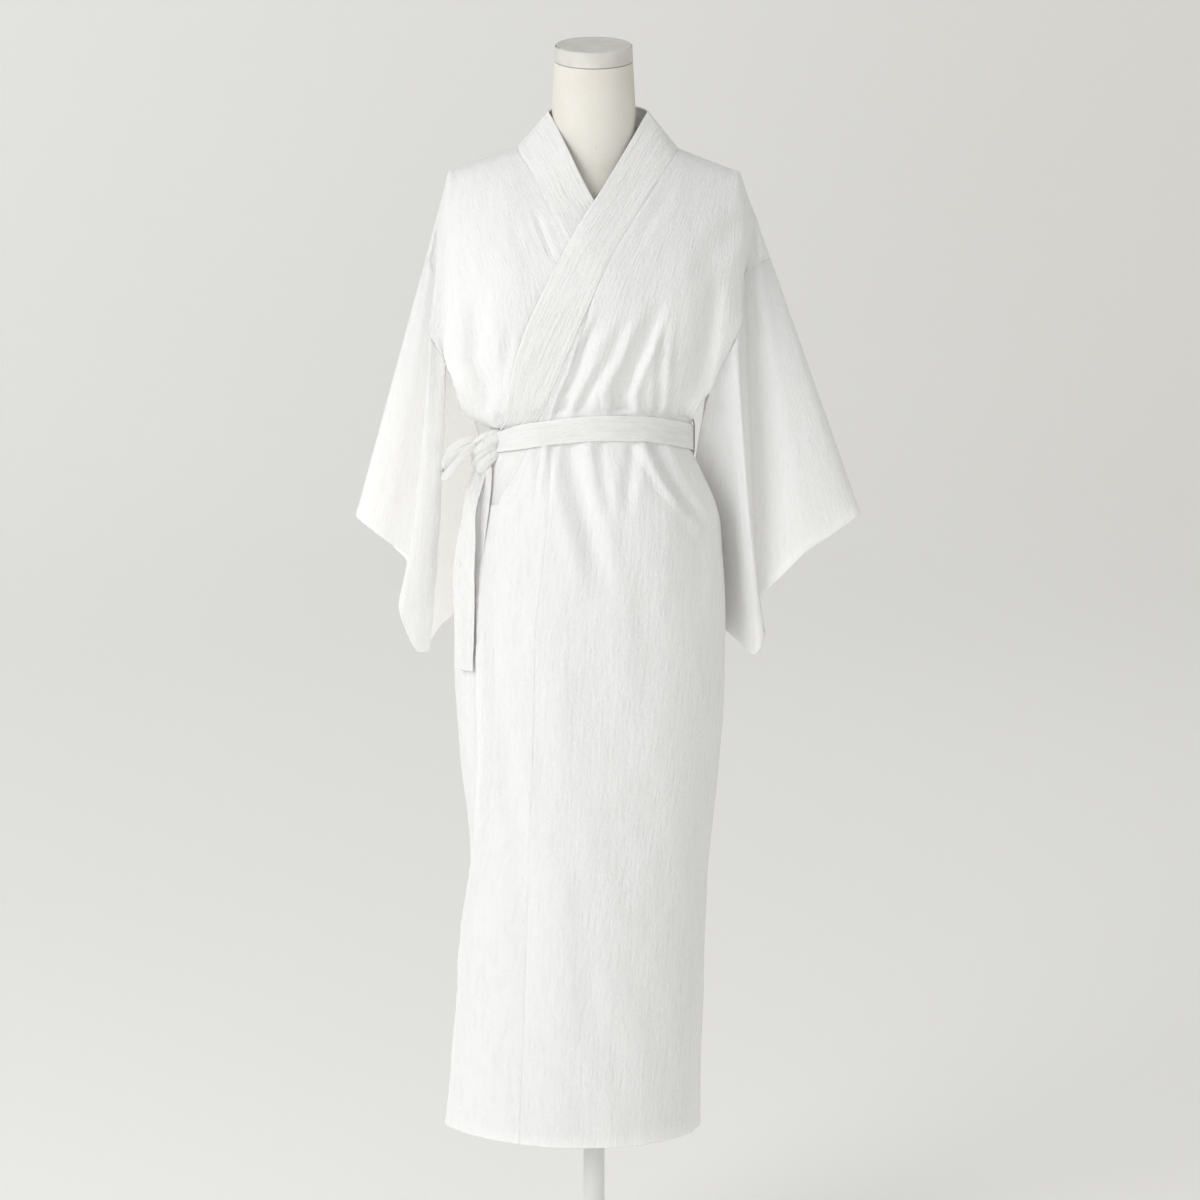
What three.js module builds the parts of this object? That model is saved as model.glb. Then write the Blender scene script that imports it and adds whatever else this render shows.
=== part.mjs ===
// A wrapped kimono of plain white cotton crepe on a limbless dress form with a round floor stand.
// Millimetres, +Z up. The wearer faces -Y, so the wearer's left side is +X.
// The origin is the centre of the underside of the stand's base plate.
//
// The garment is drawn as one surface of sewing panels that share their seam lines. Each panel is
// then drawn back from its seams by half a gap and given its thickness, so neighbours never touch.

import * as THREE from 'three';

// ---------------------------------------------------------------- driving dimensions

const CLOTH = 1.3;               // wall of one layer of crepe with its turnings
const BAND = 2.6;                // wall of the folded collar
const SASH = 2.2;                // wall of the folded belt
const SEAM_GAP = 1;            // space between two panels at a seam
const LAYER_STEP = 6;            // how far the under front lies inside the over front
const EDGE_LIFT = 5;             // how far the over front's edge stands off what it covers

const HEM_Z = 247;
const WAIST_Z = 1160;            // height of the waist line at the side seams
const WAIST_RISE = 23;           // how much higher the waist line is at the centre front
const WAIST_DROP = 19;           // how much lower it is at the centre back
const NECK_SHIFT = 11;            // how far the collar sits towards the wearer's left at the neck
const NECK_POINT_Z = 1529;       // where the collar seam crosses the shoulder line
const SHOULDER_SLOPE = 0.38;     // fall of the shoulder line for each millimetre outwards
const NECK_SLOPE = 0.25;         // rise of the same line towards the neck
const BELT_WIDTH = 32;

const POLE_RADIUS = 14;
const POLE_TOP_Z = 960;
const BASE_RADIUS = 165;
const BASE_THICKNESS = 8;
const FIT = 0.4;                 // clearance of the pole in its sockets
const CAP_TILT = THREE.MathUtils.degToRad(12);
const NECK_TOP_Z = 1640;
const NECK_TOP_RADIUS = 50;
const CAP_HEIGHT = 21;

// Skirt: one row for each height, with where the cloth reaches left, right, forwards and back.
const SKIRT = [
  { z: 247, left: -165, right: 140, front: 124, back: 119 },
  { z: 389, left: -163, right: 143, front: 121, back: 115 },
  { z: 489, left: -162, right: 145, front: 120, back: 113 },
  { z: 587, left: -161, right: 149, front: 119, back: 114 },
  { z: 661, left: -166, right: 157, front: 119, back: 116 },
  { z: 734, left: -174, right: 164, front: 119, back: 118 },
  { z: 807, left: -179, right: 169, front: 120, back: 119 },
  { z: 880, left: -181, right: 171, front: 120, back: 118 },
  { z: 959, left: -174, right: 171, front: 119, back: 114 },
  { z: 1009, left: -163, right: 166, front: 117, back: 108 },
  { z: 1056, left: -150, right: 161, front: 112, back: 101 },
  { z: 1090, left: -140, right: 151, front: 107, back: 94 },
  { z: 1120, left: -131, right: 136, front: 101, back: 86 },
  { z: 1142, left: -125.5, right: 125.5, front: 97.5, back: 79 },
  { z: 1160, left: -125, right: 125, front: 97, back: 78 },
];

// Angles round the skirt in degrees: 0 is the front, 90 the wearer's left, 180 the back.
const LINES = [
  { z: 247, okumiSeam: -33, freeEdge: -85, flare: 27, sideLeft: 57, sideRight: -100 },
  { z: 364, okumiSeam: -32.5, freeEdge: -85, flare: 18, sideLeft: 59, sideRight: -100 },
  { z: 513, okumiSeam: -31.5, freeEdge: -85, flare: 7, sideLeft: 62, sideRight: -100 },
  { z: 592, okumiSeam: -31, freeEdge: -79, flare: 1, sideLeft: 63, sideRight: -100 },
  { z: 640, okumiSeam: -29, freeEdge: -67, flare: 0, sideLeft: 64, sideRight: -100 },
  { z: 716, okumiSeam: -26, freeEdge: -58, flare: 0, sideLeft: 65, sideRight: -99 },
  { z: 900, okumiSeam: -23, freeEdge: -54.5, flare: 0, sideLeft: 70, sideRight: -98 },
  { z: 1000, okumiSeam: -23, freeEdge: -62, flare: 0, sideLeft: 75, sideRight: -96 },
  { z: 1056, okumiSeam: -24, freeEdge: -68, flare: 0, sideLeft: 79, sideRight: -94 },
  { z: 1089, okumiSeam: -25, freeEdge: -73, flare: 0, sideLeft: 83, sideRight: -92 },
  { z: 1160, okumiSeam: -26.5, freeEdge: -73, flare: 0, sideLeft: 90, sideRight: -90 },
];

// Chest and back: how deep the cloth stands at each fraction of the way from waist to shoulder line,
// and the half width that its curve is drawn on.
const CHEST = [
  { t: 0, depth: 97, halfLeft: 125, halfRight: 125 },
  { t: 0.05, depth: 97, halfLeft: 125.5, halfRight: 125.5 },
  { t: 0.09, depth: 103, halfLeft: 140, halfRight: 158 },
  { t: 0.14, depth: 107, halfLeft: 156, halfRight: 180 },
  { t: 0.2, depth: 110, halfLeft: 170, halfRight: 195 },
  { t: 0.35, depth: 115, halfLeft: 190, halfRight: 206 },
  { t: 0.5, depth: 117, halfLeft: 203, halfRight: 210 },
  { t: 0.65, depth: 104, halfLeft: 208, halfRight: 212 },
  { t: 0.78, depth: 86, halfLeft: 211, halfRight: 213 },
  { t: 0.88, depth: 64, halfLeft: 214, halfRight: 215 },
  { t: 0.95, depth: 42, halfLeft: 216, halfRight: 216 },
  { t: 0.985, depth: 23, halfLeft: 218, halfRight: 218 },
  { t: 1, depth: 0, halfLeft: 220, halfRight: 220 },
];
const BACK = [
  { t: 0, depth: 78, half: 125 },
  { t: 0.05, depth: 78.5, half: 125.5 },
  { t: 0.1, depth: 84, half: 150 },
  { t: 0.2, depth: 90, half: 185 },
  { t: 0.35, depth: 97, half: 203 },
  { t: 0.5, depth: 103, half: 208 },
  { t: 0.65, depth: 105, half: 211 },
  { t: 0.78, depth: 98, half: 213 },
  { t: 0.88, depth: 82, half: 215 },
  { t: 0.925, depth: 69, half: 216 },
  { t: 0.96, depth: 50, half: 217 },
  { t: 0.985, depth: 28, half: 218 },
  { t: 1, depth: 0, half: 220 },
];

// Collar on one front: the seam and the free edge, from the neck point down to the end.
const COLLAR = [
  { z: 1529, seamX: 107, edgeX: 69, edgeY: -4, underY: -8, edgeZ: 1575 },
  { z: 1499, seamX: 86, edgeX: 44, edgeY: -40, underY: -53, edgeZ: 1533 },
  { z: 1457, seamX: 58, edgeX: 15, edgeY: -76, underY: -72, edgeZ: 1486 },
  { z: 1416, seamX: 31, edgeX: -12, edgeY: -95, underY: -88, edgeZ: 1446 },
  { z: 1331, seamX: -9, edgeX: -56, edgeY: null, underY: null, edgeZ: 1366 },
  { z: 1255, seamX: -42, edgeX: -91, edgeY: null, underY: null, edgeZ: 1285 },
  { z: 1197, seamX: -67, edgeX: -110, edgeY: null, underY: null, edgeZ: 1208 },
  { z: 1176, seamX: -77, edgeX: -117, edgeY: null, underY: null, edgeZ: 1184 },
];
const COLLAR_STAND = { edgeX: 4, edgeY: 67, edgeZ: 1584, seamZ: 1531 };

// Each shoulder: the tip, the lowest point of the armhole, the folds that hang from the tip where
// they cross the armhole seam, and the top and bottom of the sleeve's outer fold.
const SIDES = {
  left: {
    sign: 1,
    tip: { x: 186, z: 1499 },
    neckX: 107,
    armhole: { t: 0.18, x: 148, z: 1222 },
    slit: [
      { t: 0, x: 125 }, { t: 0.05, x: 125.3 }, { t: 0.08, x: 129 }, { t: 0.11, x: 133.5 },
      { t: 0.145, x: 140 }, { t: 0.18, x: 148 },
    ],
    seam: {
      ridge: [184, -50, 1298], valley: [192, -13, 1366], roll: [212, -15, 1385], top: [226, 0, 1390],
      backRoll: [212, 15, 1385], backValley: [192, 13, 1362], backRidge: [186, 50, 1296],
    },
    folds: [
      { name: 'frontEdge', middle: [130, 60, 1060], end: [150, 69, 917] },
      { name: 'frontSide', middle: [180, 8, 1060], end: [185, 21, 893] },
      { name: 'frontTip', middle: [191, -28, 1062], end: [208, -9, 876] },
      { name: 'ridge', middle: [197, -45, 1110], end: [220, -17, 906] },
      { name: 'valley', middle: [203, -7, 1140], end: [211, -7, 946] },
      { name: 'roll', middle: [247, -22, 1165], end: [275, -20, 1013] },
      { name: 'top', middle: [285.5, 0, 1225], end: [345, 0, 1060] },
      { name: 'backRoll', middle: [245, 23, 1160], end: [273, 22, 1008] },
      { name: 'backValley', middle: [204, 8, 1140], end: [214, 7, 940] },
      { name: 'backRidge', middle: [197, 48, 1100], end: [223, 14, 900] },
      { name: 'backTip', middle: [190, 46, 1062], end: [211, -2, 877] },
      { name: 'backSide', middle: [176, 66, 1062], end: [188, 28, 893] },
      { name: 'backEdge', middle: [136, 94, 1062], end: [144, 77, 920] },
    ],
  },
  right: {
    sign: -1,
    tip: { x: -185, z: 1499 },
    neckX: -96,
    armhole: { t: 0.3, x: -190, z: 1262 },
    slit: [
      { t: 0, x: -125 }, { t: 0.05, x: -125.3 }, { t: 0.09, x: -148 }, { t: 0.14, x: -167 },
      { t: 0.22, x: -181 }, { t: 0.3, x: -190 },
    ],
    seam: {
      ridge: [-208, -48, 1290], valley: [-200, -15, 1360], roll: [-210, -16, 1386], top: [-215, 0, 1390],
      backRoll: [-210, 17, 1386], backValley: [-200, 19, 1356], backRidge: [-205, 52, 1300],
    },
    folds: [
      { name: 'frontEdge', middle: [-197, -34, 1080], end: [-214, -2, 880] },
      { name: 'frontSide', middle: [-205, -40, 1082], end: [-221, -6, 879] },
      { name: 'frontTip', middle: [-213, -43, 1085], end: [-229, -11, 881] },
      { name: 'ridge', middle: [-224, -42, 1095], end: [-250, -24, 930] },
      { name: 'valley', middle: [-221, -8, 1140], end: [-242, -8, 1006] },
      { name: 'roll', middle: [-244, -20, 1165], end: [-272, -18, 1030] },
      { name: 'top', middle: [-261.5, 0, 1223.5], end: [-308, 0, 1057] },
      { name: 'backRoll', middle: [-244, 21, 1160], end: [-270, 20, 1024] },
      { name: 'backValley', middle: [-221, 9, 1140], end: [-243, 8, 998] },
      { name: 'backRidge', middle: [-222, 46, 1090], end: [-248, 20, 926] },
      { name: 'backTip', middle: [-207, 54, 1076], end: [-228, 1, 886] },
      { name: 'backSide', middle: [-194, 68, 1072], end: [-207, 24, 903] },
      { name: 'backEdge', middle: [-182, 66, 1076], end: [-166, 74, 932] },
    ],
  },
};

// Where the rows above the armhole lie, as fractions of the way up the armhole seam.
const FOLD_STOPS = [0, 0.08, 0.16, 0.24, 0.6, 0.87, 1];
const ROWS_ABOVE = [0, 0.08, 0.16, 0.24, 0.42, 0.6, 0.74, 0.87, 0.92, 0.96, 0.985, 1];
const NECK_ROW = 0.87;           // the row above which the back panels are cut away for the neck
const SKIRT_ROWS = [0, 0.1, 0.2, 0.31, 0.42, 0.53, 0.64, 0.74, 0.83, 0.9, 0.955, 0.98, 1];
const PANEL_COLUMNS = [0, 0.12, 0.24, 0.36, 0.47, 0.58, 0.69, 0.8, 0.9, 1];
const OKUMI_COLUMNS = [0, 0.5, 1];
const COLLAR_END = 0.9;          // the skirt row on which the collar ends
const COLLAR_END_SHARE = 0.32;   // how far across the okumi the collar's seam ends
const BAND_COLUMNS = [0, 0.33, 0.67, 1];
const OKUMI_LOWER_COLUMNS = [...BAND_COLUMNS.map((u) => COLLAR_END_SHARE * (1 - u)).reverse(), 0.66, 1];
const SLEEVE_ROWS = 8;

// Large folds of the skirt: a soft line from one angle to another, positive where it stands out.
const SKIRT_FOLDS = [
  { fromAngle: -47, fromZ: 1080, toAngle: -31, toZ: 300, width: 9, height: -5 },
  { fromAngle: -17, fromZ: 1000, toAngle: -15, toZ: 260, width: 9, height: 3 },
  { fromAngle: -12, fromZ: 1140, toAngle: 3, toZ: 960, width: 8, height: -3 },
  { fromAngle: 27, fromZ: 1140, toAngle: 43, toZ: 1000, width: 8, height: 4 },
  { fromAngle: 36, fromZ: 1140, toAngle: 56, toZ: 960, width: 7, height: -5 },
  { fromAngle: 128, fromZ: 1130, toAngle: 118, toZ: 500, width: 10, height: -5 },
  { fromAngle: 158, fromZ: 1130, toAngle: 150, toZ: 420, width: 10, height: -6 },
  { fromAngle: 205, fromZ: 1130, toAngle: 212, toZ: 600, width: 10, height: -6 },
  { fromAngle: 235, fromZ: 1120, toAngle: 243, toZ: 400, width: 9, height: -4 },
];

// Large folds of the upper panels: across is the fraction from the front or back centre outwards.
const CHEST_FOLDS = [
  { panel: 'frontLeft', across: 0.87, low: 0.06, high: 0.62, width: 0.11, depth: 20 },
  { panel: 'frontRight', across: 0.82, low: 0.04, high: 0.56, width: 0.09, depth: 15 },
  { panel: 'backLeft', across: 0.74, low: 0.04, high: 0.6, width: 0.13, depth: 13 },
  { panel: 'backRight', across: 0.74, low: 0.04, high: 0.56, width: 0.13, depth: 14 },
];

// ---------------------------------------------------------------- small helpers

const mix = (a, b, k) => a + (b - a) * k;
const mixPoint = (a, b, k) => a.map((value, axis) => mix(value, b[axis], k));
const ease = (k) => {
  const c = Math.min(1, Math.max(0, k));
  return c * c * (3 - 2 * c);
};
const rad = THREE.MathUtils.degToRad;
const bump = (k) => (Math.abs(k) < 1 ? (1 + Math.cos(Math.PI * k)) / 2 : 0);

// Reads a column of a table at a key, along a smooth curve through its rows.
function read(rows, key, at, column) {
  const ordered = rows[0][key] < rows[rows.length - 1][key] ? rows : [...rows].reverse();
  const last = ordered.length - 1;
  if (at <= ordered[0][key]) return ordered[0][column];
  if (at >= ordered[last][key]) return ordered[last][column];
  let i = 0;
  while (ordered[i + 1][key] < at) i += 1;
  const slope = (a, b) => (ordered[b][column] - ordered[a][column]) / (ordered[b][key] - ordered[a][key]);
  const own = slope(i, i + 1);
  const limit = (m) => (m * own <= 0 ? 0 : Math.sign(own) * Math.min(Math.abs(m), 3 * Math.abs(own)));
  const before = i > 0 ? limit((slope(i - 1, i) + own) / 2) : own;
  const after = i + 1 < last ? limit((own + slope(i + 1, i + 2)) / 2) : own;
  const h = ordered[i + 1][key] - ordered[i][key];
  const k = (at - ordered[i][key]) / h;
  const a = ordered[i][column];
  const b = ordered[i + 1][column];
  return a * (2 * k ** 3 - 3 * k ** 2 + 1) + b * (3 * k ** 2 - 2 * k ** 3)
    + h * before * (k ** 3 - 2 * k ** 2 + k) + h * after * (k ** 3 - k ** 2);
}

// A parabola through three points, the middle one halfway.
function bend(start, middle, end, s) {
  return start.map((value, axis) => value * (1 - s) * (1 - 2 * s) + middle[axis] * 4 * s * (1 - s)
    + end[axis] * s * (2 * s - 1));
}

// ---------------------------------------------------------------- the garment's surface

const shoulderZ = (x) => {
  const reach = Math.abs(x) - 107;
  return NECK_POINT_Z - (reach > 0 ? SHOULDER_SLOPE : NECK_SLOPE) * reach;
};

const waistZ = (x, front) => {
  const across = Math.min(1, Math.abs(x) / 125);
  return WAIST_Z + (front ? WAIST_RISE : -WAIST_DROP) * Math.sqrt(1 - across * across);
};

// A point of the chest or back at a place in the front view, moved outwards by a lift.
function upperPoint(x, z, front, lift = 0) {
  const low = waistZ(x, front);
  const t = Math.min(1, Math.max(0, (z - low) / (shoulderZ(x) - low)));
  const rows = front ? CHEST : BACK;
  const frontColumn = x > 0 ? 'halfLeft' : 'halfRight';
  const column = front ? frontColumn : 'half';
  const half = read(rows, 't', t, column);
  const depth = read(rows, 't', t, 'depth');
  const across = Math.min(1, Math.abs(x) / half);
  const y = depth * Math.sqrt(1 - across * across);
  const normal = new THREE.Vector2(x / (half * half), y / Math.max(1, depth * depth)).normalize();
  const sign = front ? -1 : 1;
  const fade = ease((1 - t) / 0.12);
  return [x + normal.x * lift * fade, sign * (y + normal.y * lift * fade), z];
}

function skirtFold(angle, z) {
  let sum = 0;
  for (const fold of SKIRT_FOLDS) {
    const along = (fold.fromZ - z) / (fold.fromZ - fold.toZ);
    const centre = mix(fold.fromAngle, fold.toAngle, Math.min(1, Math.max(0, along)));
    const turn = ((angle - centre + 540) % 360) - 180;
    const fade = ease((along + 0.12) / 0.3) * ease((1.15 - along) / 0.4);
    sum += fold.height * fade * bump(turn / (2 * fold.width));
  }
  return sum;
}

// A point of the skirt at an angle, a fraction of the way up from hem to waist, and a lift.
function skirtPoint(angle, rise, lift = 0) {
  const level = mix(HEM_Z, WAIST_Z, rise);
  const left = read(SKIRT, 'z', level, 'left');
  const right = read(SKIRT, 'z', level, 'right');
  const centre = (left + right) / 2;
  const half = (right - left) / 2;
  const side = Math.sin(rad(angle));
  const ahead = Math.cos(rad(angle));
  const depth = read(SKIRT, 'z', level, ahead > 0 ? 'front' : 'back');
  const x = centre + half * side;
  const y = -depth * ahead;
  const tilt = ease((rise - 0.6) / 0.4);
  const top = waistZ(125 * side, ahead > 0);
  const normal = new THREE.Vector2(side / half, -ahead / depth).normalize();
  const out = lift + skirtFold(angle, level) * ease((1 - rise) / 0.06);
  return [x + normal.x * out, y + normal.y * out, mix(HEM_Z, mix(WAIST_Z, top, tilt), rise)];
}

const lineAngle = (column, rise) => read(LINES, 'z', mix(HEM_Z, WAIST_Z, rise), column);

// How far the under front lies inside the surface, and how far the over front's edge stands off it.
const underLift = (x) => -LAYER_STEP * ease((x + 124) / 60);
const overLift = (x) => EDGE_LIFT * ease((-30 - x) / 80);
const wrapLift = (under, x) => (under ? underLift(x) : overLift(x));

// ---------------------------------------------------------------- panels as grids of points

// The rows of an upper panel, as fractions from waist to shoulder line.
function upperRows(side) {
  const start = side.armhole.t;
  const below = side.slit.map((row) => row.t).filter((t) => t < start);
  return [...below, ...ROWS_ABOVE.map((k) => mix(start, 1, k))];
}

// A row's place on the armhole seam: 0 at its lowest point, 1 at the shoulder line.
const armholeShare = (side, t) => Math.round((t - side.armhole.t) / (1 - side.armhole.t) * 1e6) / 1e6;

// The armhole seam from its lowest point to the top of the sleeve, for the front or the back.
function armholeSeam(side, front, k) {
  const s = side.seam;
  const lowest = upperPoint(side.armhole.x, side.armhole.z, front);
  const stops = front
    ? [lowest, s.ridge, s.valley, s.roll, s.top]
    : [lowest, s.backRidge, s.backValley, s.backRoll, s.top];
  const at = [0, ...FOLD_STOPS.slice(3)];
  let i = 0;
  while (i < at.length - 2 && at[i + 1] < k) i += 1;
  return mixPoint(stops[i], stops[i + 1], (k - at[i]) / (at[i + 1] - at[i]));
}

// The part of a row that hangs beyond the shoulder: the folds below the tip, cut off by the seam.
function hangingPoints(side, front, k) {
  const tip = [side.tip.x, 0, side.tip.z];
  const edge = armholeSeam(side, front, k);
  const stops = [[0.24, 0.2], [0.6, 0.5], [0.87, 0.8]];
  const points = stops.map(([crossing, share]) => {
    if (k <= crossing) return edge;
    const s = (k - crossing) / (1 - crossing);
    const foot = armholeSeam(side, front, crossing);
    const point = mixPoint(foot, mixPoint(tip, side.seam.top, share), s);
    point[1] = foot[1] * Math.sqrt(1 - s * s);
    return point;
  });
  return [...points, edge];
}

// Spacing of the columns: by angle at the waist, where the cloth goes round, and even further up.
function columnShare(u, t, fromX, toX) {
  if (Math.abs(toX - fromX) < 0.001) return u;
  const angle = (x) => Math.asin(Math.max(-1, Math.min(1, x / 125)));
  const round = (125 * Math.sin(mix(angle(fromX), angle(toX), u)) - fromX) / (toX - fromX);
  return mix(round, u, ease(t / 0.2));
}

function chestFold(panel, u, t) {
  let sum = 0;
  for (const fold of CHEST_FOLDS.filter((row) => row.panel === panel)) {
    const middle = (fold.low + fold.high) / 2;
    const reach = (fold.high - fold.low) / 2;
    sum += fold.depth * bump((u - fold.across) / fold.width) * Math.sqrt(bump((t - middle) / reach));
  }
  return sum;
}

// One row of an upper panel between two places of the front view.
function upperRow(t, from, to, columns, front, lift, fold) {
  return columns.map((u) => {
    const share = columnShare(u, t, from.x, to.x);
    const x = mix(from.x, to.x, share);
    const dip = waistZ(x, front) - mix(waistZ(from.x, front), waistZ(to.x, front), share);
    const between = mix(from.z, to.z, share) + dip * (1 - ease(t / 0.15));
    let z = between;
    if (t === 0) z = waistZ(x, front);
    if (t === 1) z = shoulderZ(x);
    const point = upperPoint(x, z, front, lift(x));
    point[1] += (front ? 1 : -1) * fold(u, t);
    return point;
  });
}

// The outer edge of an upper row: the open slit, then the line where the hanging folds begin.
function outerPlace(side, t, front) {
  const k = armholeShare(side, t);
  if (k > 0) {
    return { x: mix(side.armhole.x, side.tip.x, k ** 0.7), z: mix(side.armhole.z, side.tip.z, k) };
  }
  const x = read(side.slit, 't', t, 'x');
  return { x, z: k === 0 ? side.armhole.z : mix(waistZ(x, front), shoulderZ(x), t) };
}

function withHanging(side, t, front, points) {
  const k = armholeShare(side, t);
  const hanging = k > 0 ? hangingPoints(side, front, k) : Array(4).fill(points[points.length - 1]);
  return [...points, ...hanging];
}

const innerZ = (t) => mix(WAIST_Z + WAIST_RISE * 0.89, NECK_POINT_Z, t);
function kensakiRow(side) {
  const away = (t) => Math.abs(t - 0.54);
  return upperRows(side).reduce((a, b) => (away(b) < away(a) ? b : a));
}

// The collar seam's place in the front view on one row.
function collarPlace(side, t) {
  const z = innerZ(t);
  const shift = side.sign > 0 ? 0 : NECK_SHIFT * ease((z - 1416) / 113);
  return { x: side.sign * read(COLLAR, 'z', z, 'seamX') + shift, z };
}

// The okumi seam's place: it runs from the waist up to the collar seam at the okumi's point.
function okumiPlace(side, t) {
  const top = kensakiRow(side);
  if (t >= top) return collarPlace(side, t);
  const low = side.sign * 125 * Math.sin(rad(lineAngle('okumiSeam', 1)));
  return { x: mix(low, collarPlace(side, top).x, (t / top) ** 0.92), z: innerZ(t) };
}

function frontUpper(side) {
  const under = side.sign < 0;
  const panel = under ? 'frontRight' : 'frontLeft';
  return upperRows(side).map((t) => {
    const fold = (u, at) => (u > 0 && u < 1 ? chestFold(panel, u, at) : 0);
    const lift = (x) => wrapLift(under, x);
    const inner = okumiPlace(side, t);
    const outer = outerPlace(side, t, true);
    const points = upperRow(t, inner, outer, PANEL_COLUMNS, true, lift, fold);
    return withHanging(side, t, true, points);
  });
}

function okumiUpper(side) {
  const top = kensakiRow(side);
  const lift = (x) => wrapLift(side.sign < 0, x);
  return upperRows(side).filter((t) => t <= top).map((t) => (
    upperRow(t, collarPlace(side, t), okumiPlace(side, t), OKUMI_COLUMNS, true, lift, () => 0)));
}

function backUpper(side) {
  const panel = side.sign > 0 ? 'backLeft' : 'backRight';
  const shared = upperRows(SIDES.right);
  const top = mix(SIDES.right.armhole.t, 1, NECK_ROW);
  return upperRows(side).map((t, i) => {
    const k = armholeShare(side, t);
    const neck = Math.max(0, (k - NECK_ROW) / (1 - NECK_ROW));
    const inner = {
      x: side.neckX * Math.sin(neck * Math.PI / 2),
      z: k < NECK_ROW
        ? mix(waistZ(0, false), COLLAR_STAND.seamZ, shared[i] / top)
        : mix(COLLAR_STAND.seamZ, shoulderZ(side.neckX), neck),
    };
    const fold = (u, at) => (u > 0 && u < 1 ? chestFold(panel, u, at) : 0);
    const points = upperRow(t, inner, outerPlace(side, t, false), PANEL_COLUMNS, false, () => 0, fold);
    return withHanging(side, t, false, points);
  });
}

// The lines of one front on the skirt. The under front is the mirror of the over front.
function frontLines(under, rise) {
  const sign = under ? -1 : 1;
  const okumi = sign * lineAngle('okumiSeam', rise);
  const edge = under ? Math.min(66, -lineAngle('freeEdge', rise)) : lineAngle('freeEdge', rise);
  const start = sign * THREE.MathUtils.radToDeg(Math.asin(read(COLLAR, 'z', innerZ(0), 'seamX') / 125));
  const end = mix(edge, okumi, COLLAR_END_SHARE);
  return { okumi, edge, collar: mix(end, start, Math.max(0, (rise - COLLAR_END) / (1 - COLLAR_END)) ** 0.8) };
}

const waistX = (angle) => 125 * Math.sin(rad(angle));

function frontSkirt(side) {
  const under = side.sign < 0;
  const column = under ? 'sideRight' : 'sideLeft';
  return SKIRT_ROWS.map((rise) => PANEL_COLUMNS.map((u) => {
    const angle = mix(frontLines(under, rise).okumi, lineAngle(column, rise), u);
    return skirtPoint(angle, rise, wrapLift(under, waistX(angle)));
  }));
}

function backSkirt(side) {
  const column = side.sign > 0 ? 'sideLeft' : 'sideRight';
  return SKIRT_ROWS.map((rise) => PANEL_COLUMNS.map((u) => (
    skirtPoint(mix(side.sign * 180, lineAngle(column, rise), u), rise))));
}

// A point of the okumi below the waist, where 0 across is its free edge and 1 the okumi seam.
function okumiPoint(under, rise, across) {
  const lines = frontLines(under, rise);
  const angle = mix(lines.edge, lines.okumi, across);
  const flare = under ? 0 : lineAngle('flare', rise) * (1 - across) ** 2;
  return skirtPoint(angle, rise, wrapLift(under, waistX(angle)) + flare);
}

function okumiLower(under) {
  return SKIRT_ROWS.filter((rise) => rise <= COLLAR_END).map((rise) => (
    OKUMI_LOWER_COLUMNS.map((across) => okumiPoint(under, rise, across))));
}

function okumiBeside(under) {
  return SKIRT_ROWS.filter((rise) => rise >= COLLAR_END).map((rise) => OKUMI_COLUMNS.map((u) => {
    const lines = frontLines(under, rise);
    if (rise === COLLAR_END) return okumiPoint(under, rise, mix(COLLAR_END_SHARE, 1, u));
    const angle = mix(lines.collar, lines.okumi, u);
    return skirtPoint(angle, rise, wrapLift(under, waistX(angle)));
  }));
}

// The collar from one front end, round the back of the neck, to the other: seam side to free edge.
function collarFront(side) {
  const under = side.sign < 0;
  const below = SKIRT_ROWS.filter((rise) => rise >= COLLAR_END && rise < 1).map((rise) => {
    if (rise === COLLAR_END) {
      return BAND_COLUMNS.map((u) => okumiPoint(under, rise, COLLAR_END_SHARE * (1 - u)));
    }
    const angle = frontLines(under, rise).collar;
    const edge = mix(frontLines(under, rise).edge, -side.sign * 76, 0.7);
    return BAND_COLUMNS.map((u) => {
      const at = mix(angle, edge, u);
      return skirtPoint(at, rise, wrapLift(under, waistX(at)));
    });
  });
  const above = upperRows(side).map((t) => {
    const place = collarPlace(side, t);
    const outer = outerPlace(side, t, true);
    const [seam] = upperRow(t, place, outer, [0], true, (x) => wrapLift(under, x), () => 0);
    const shift = under ? NECK_SHIFT * ease((place.z - 1416) / 113) : 0;
    const edgeX = side.sign * read(COLLAR, 'z', place.z, 'edgeX') + shift;
    const level = read(COLLAR, 'z', place.z, 'edgeZ');
    const edgeZ = mix(waistZ(edgeX, true), level, ease(t / 0.12));
    const flat = upperPoint(edgeX, edgeZ, true, wrapLift(under, edgeX));
    const standing = COLLAR.filter((row) => row.edgeY !== null);
    const edgeY = read(standing, 'z', place.z, under ? 'underY' : 'edgeY');
    const edge = place.z > 1416 ? [edgeX, edgeY, edgeZ] : flat;
    return BAND_COLUMNS.map((u) => {
      const point = mixPoint(seam, edge, u);
      if (place.z > 1416 || u === 0 || u === 1) return point;
      return upperPoint(point[0], point[2], true, wrapLift(under, point[0]));
    });
  });
  return [...below, ...above];
}

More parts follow.
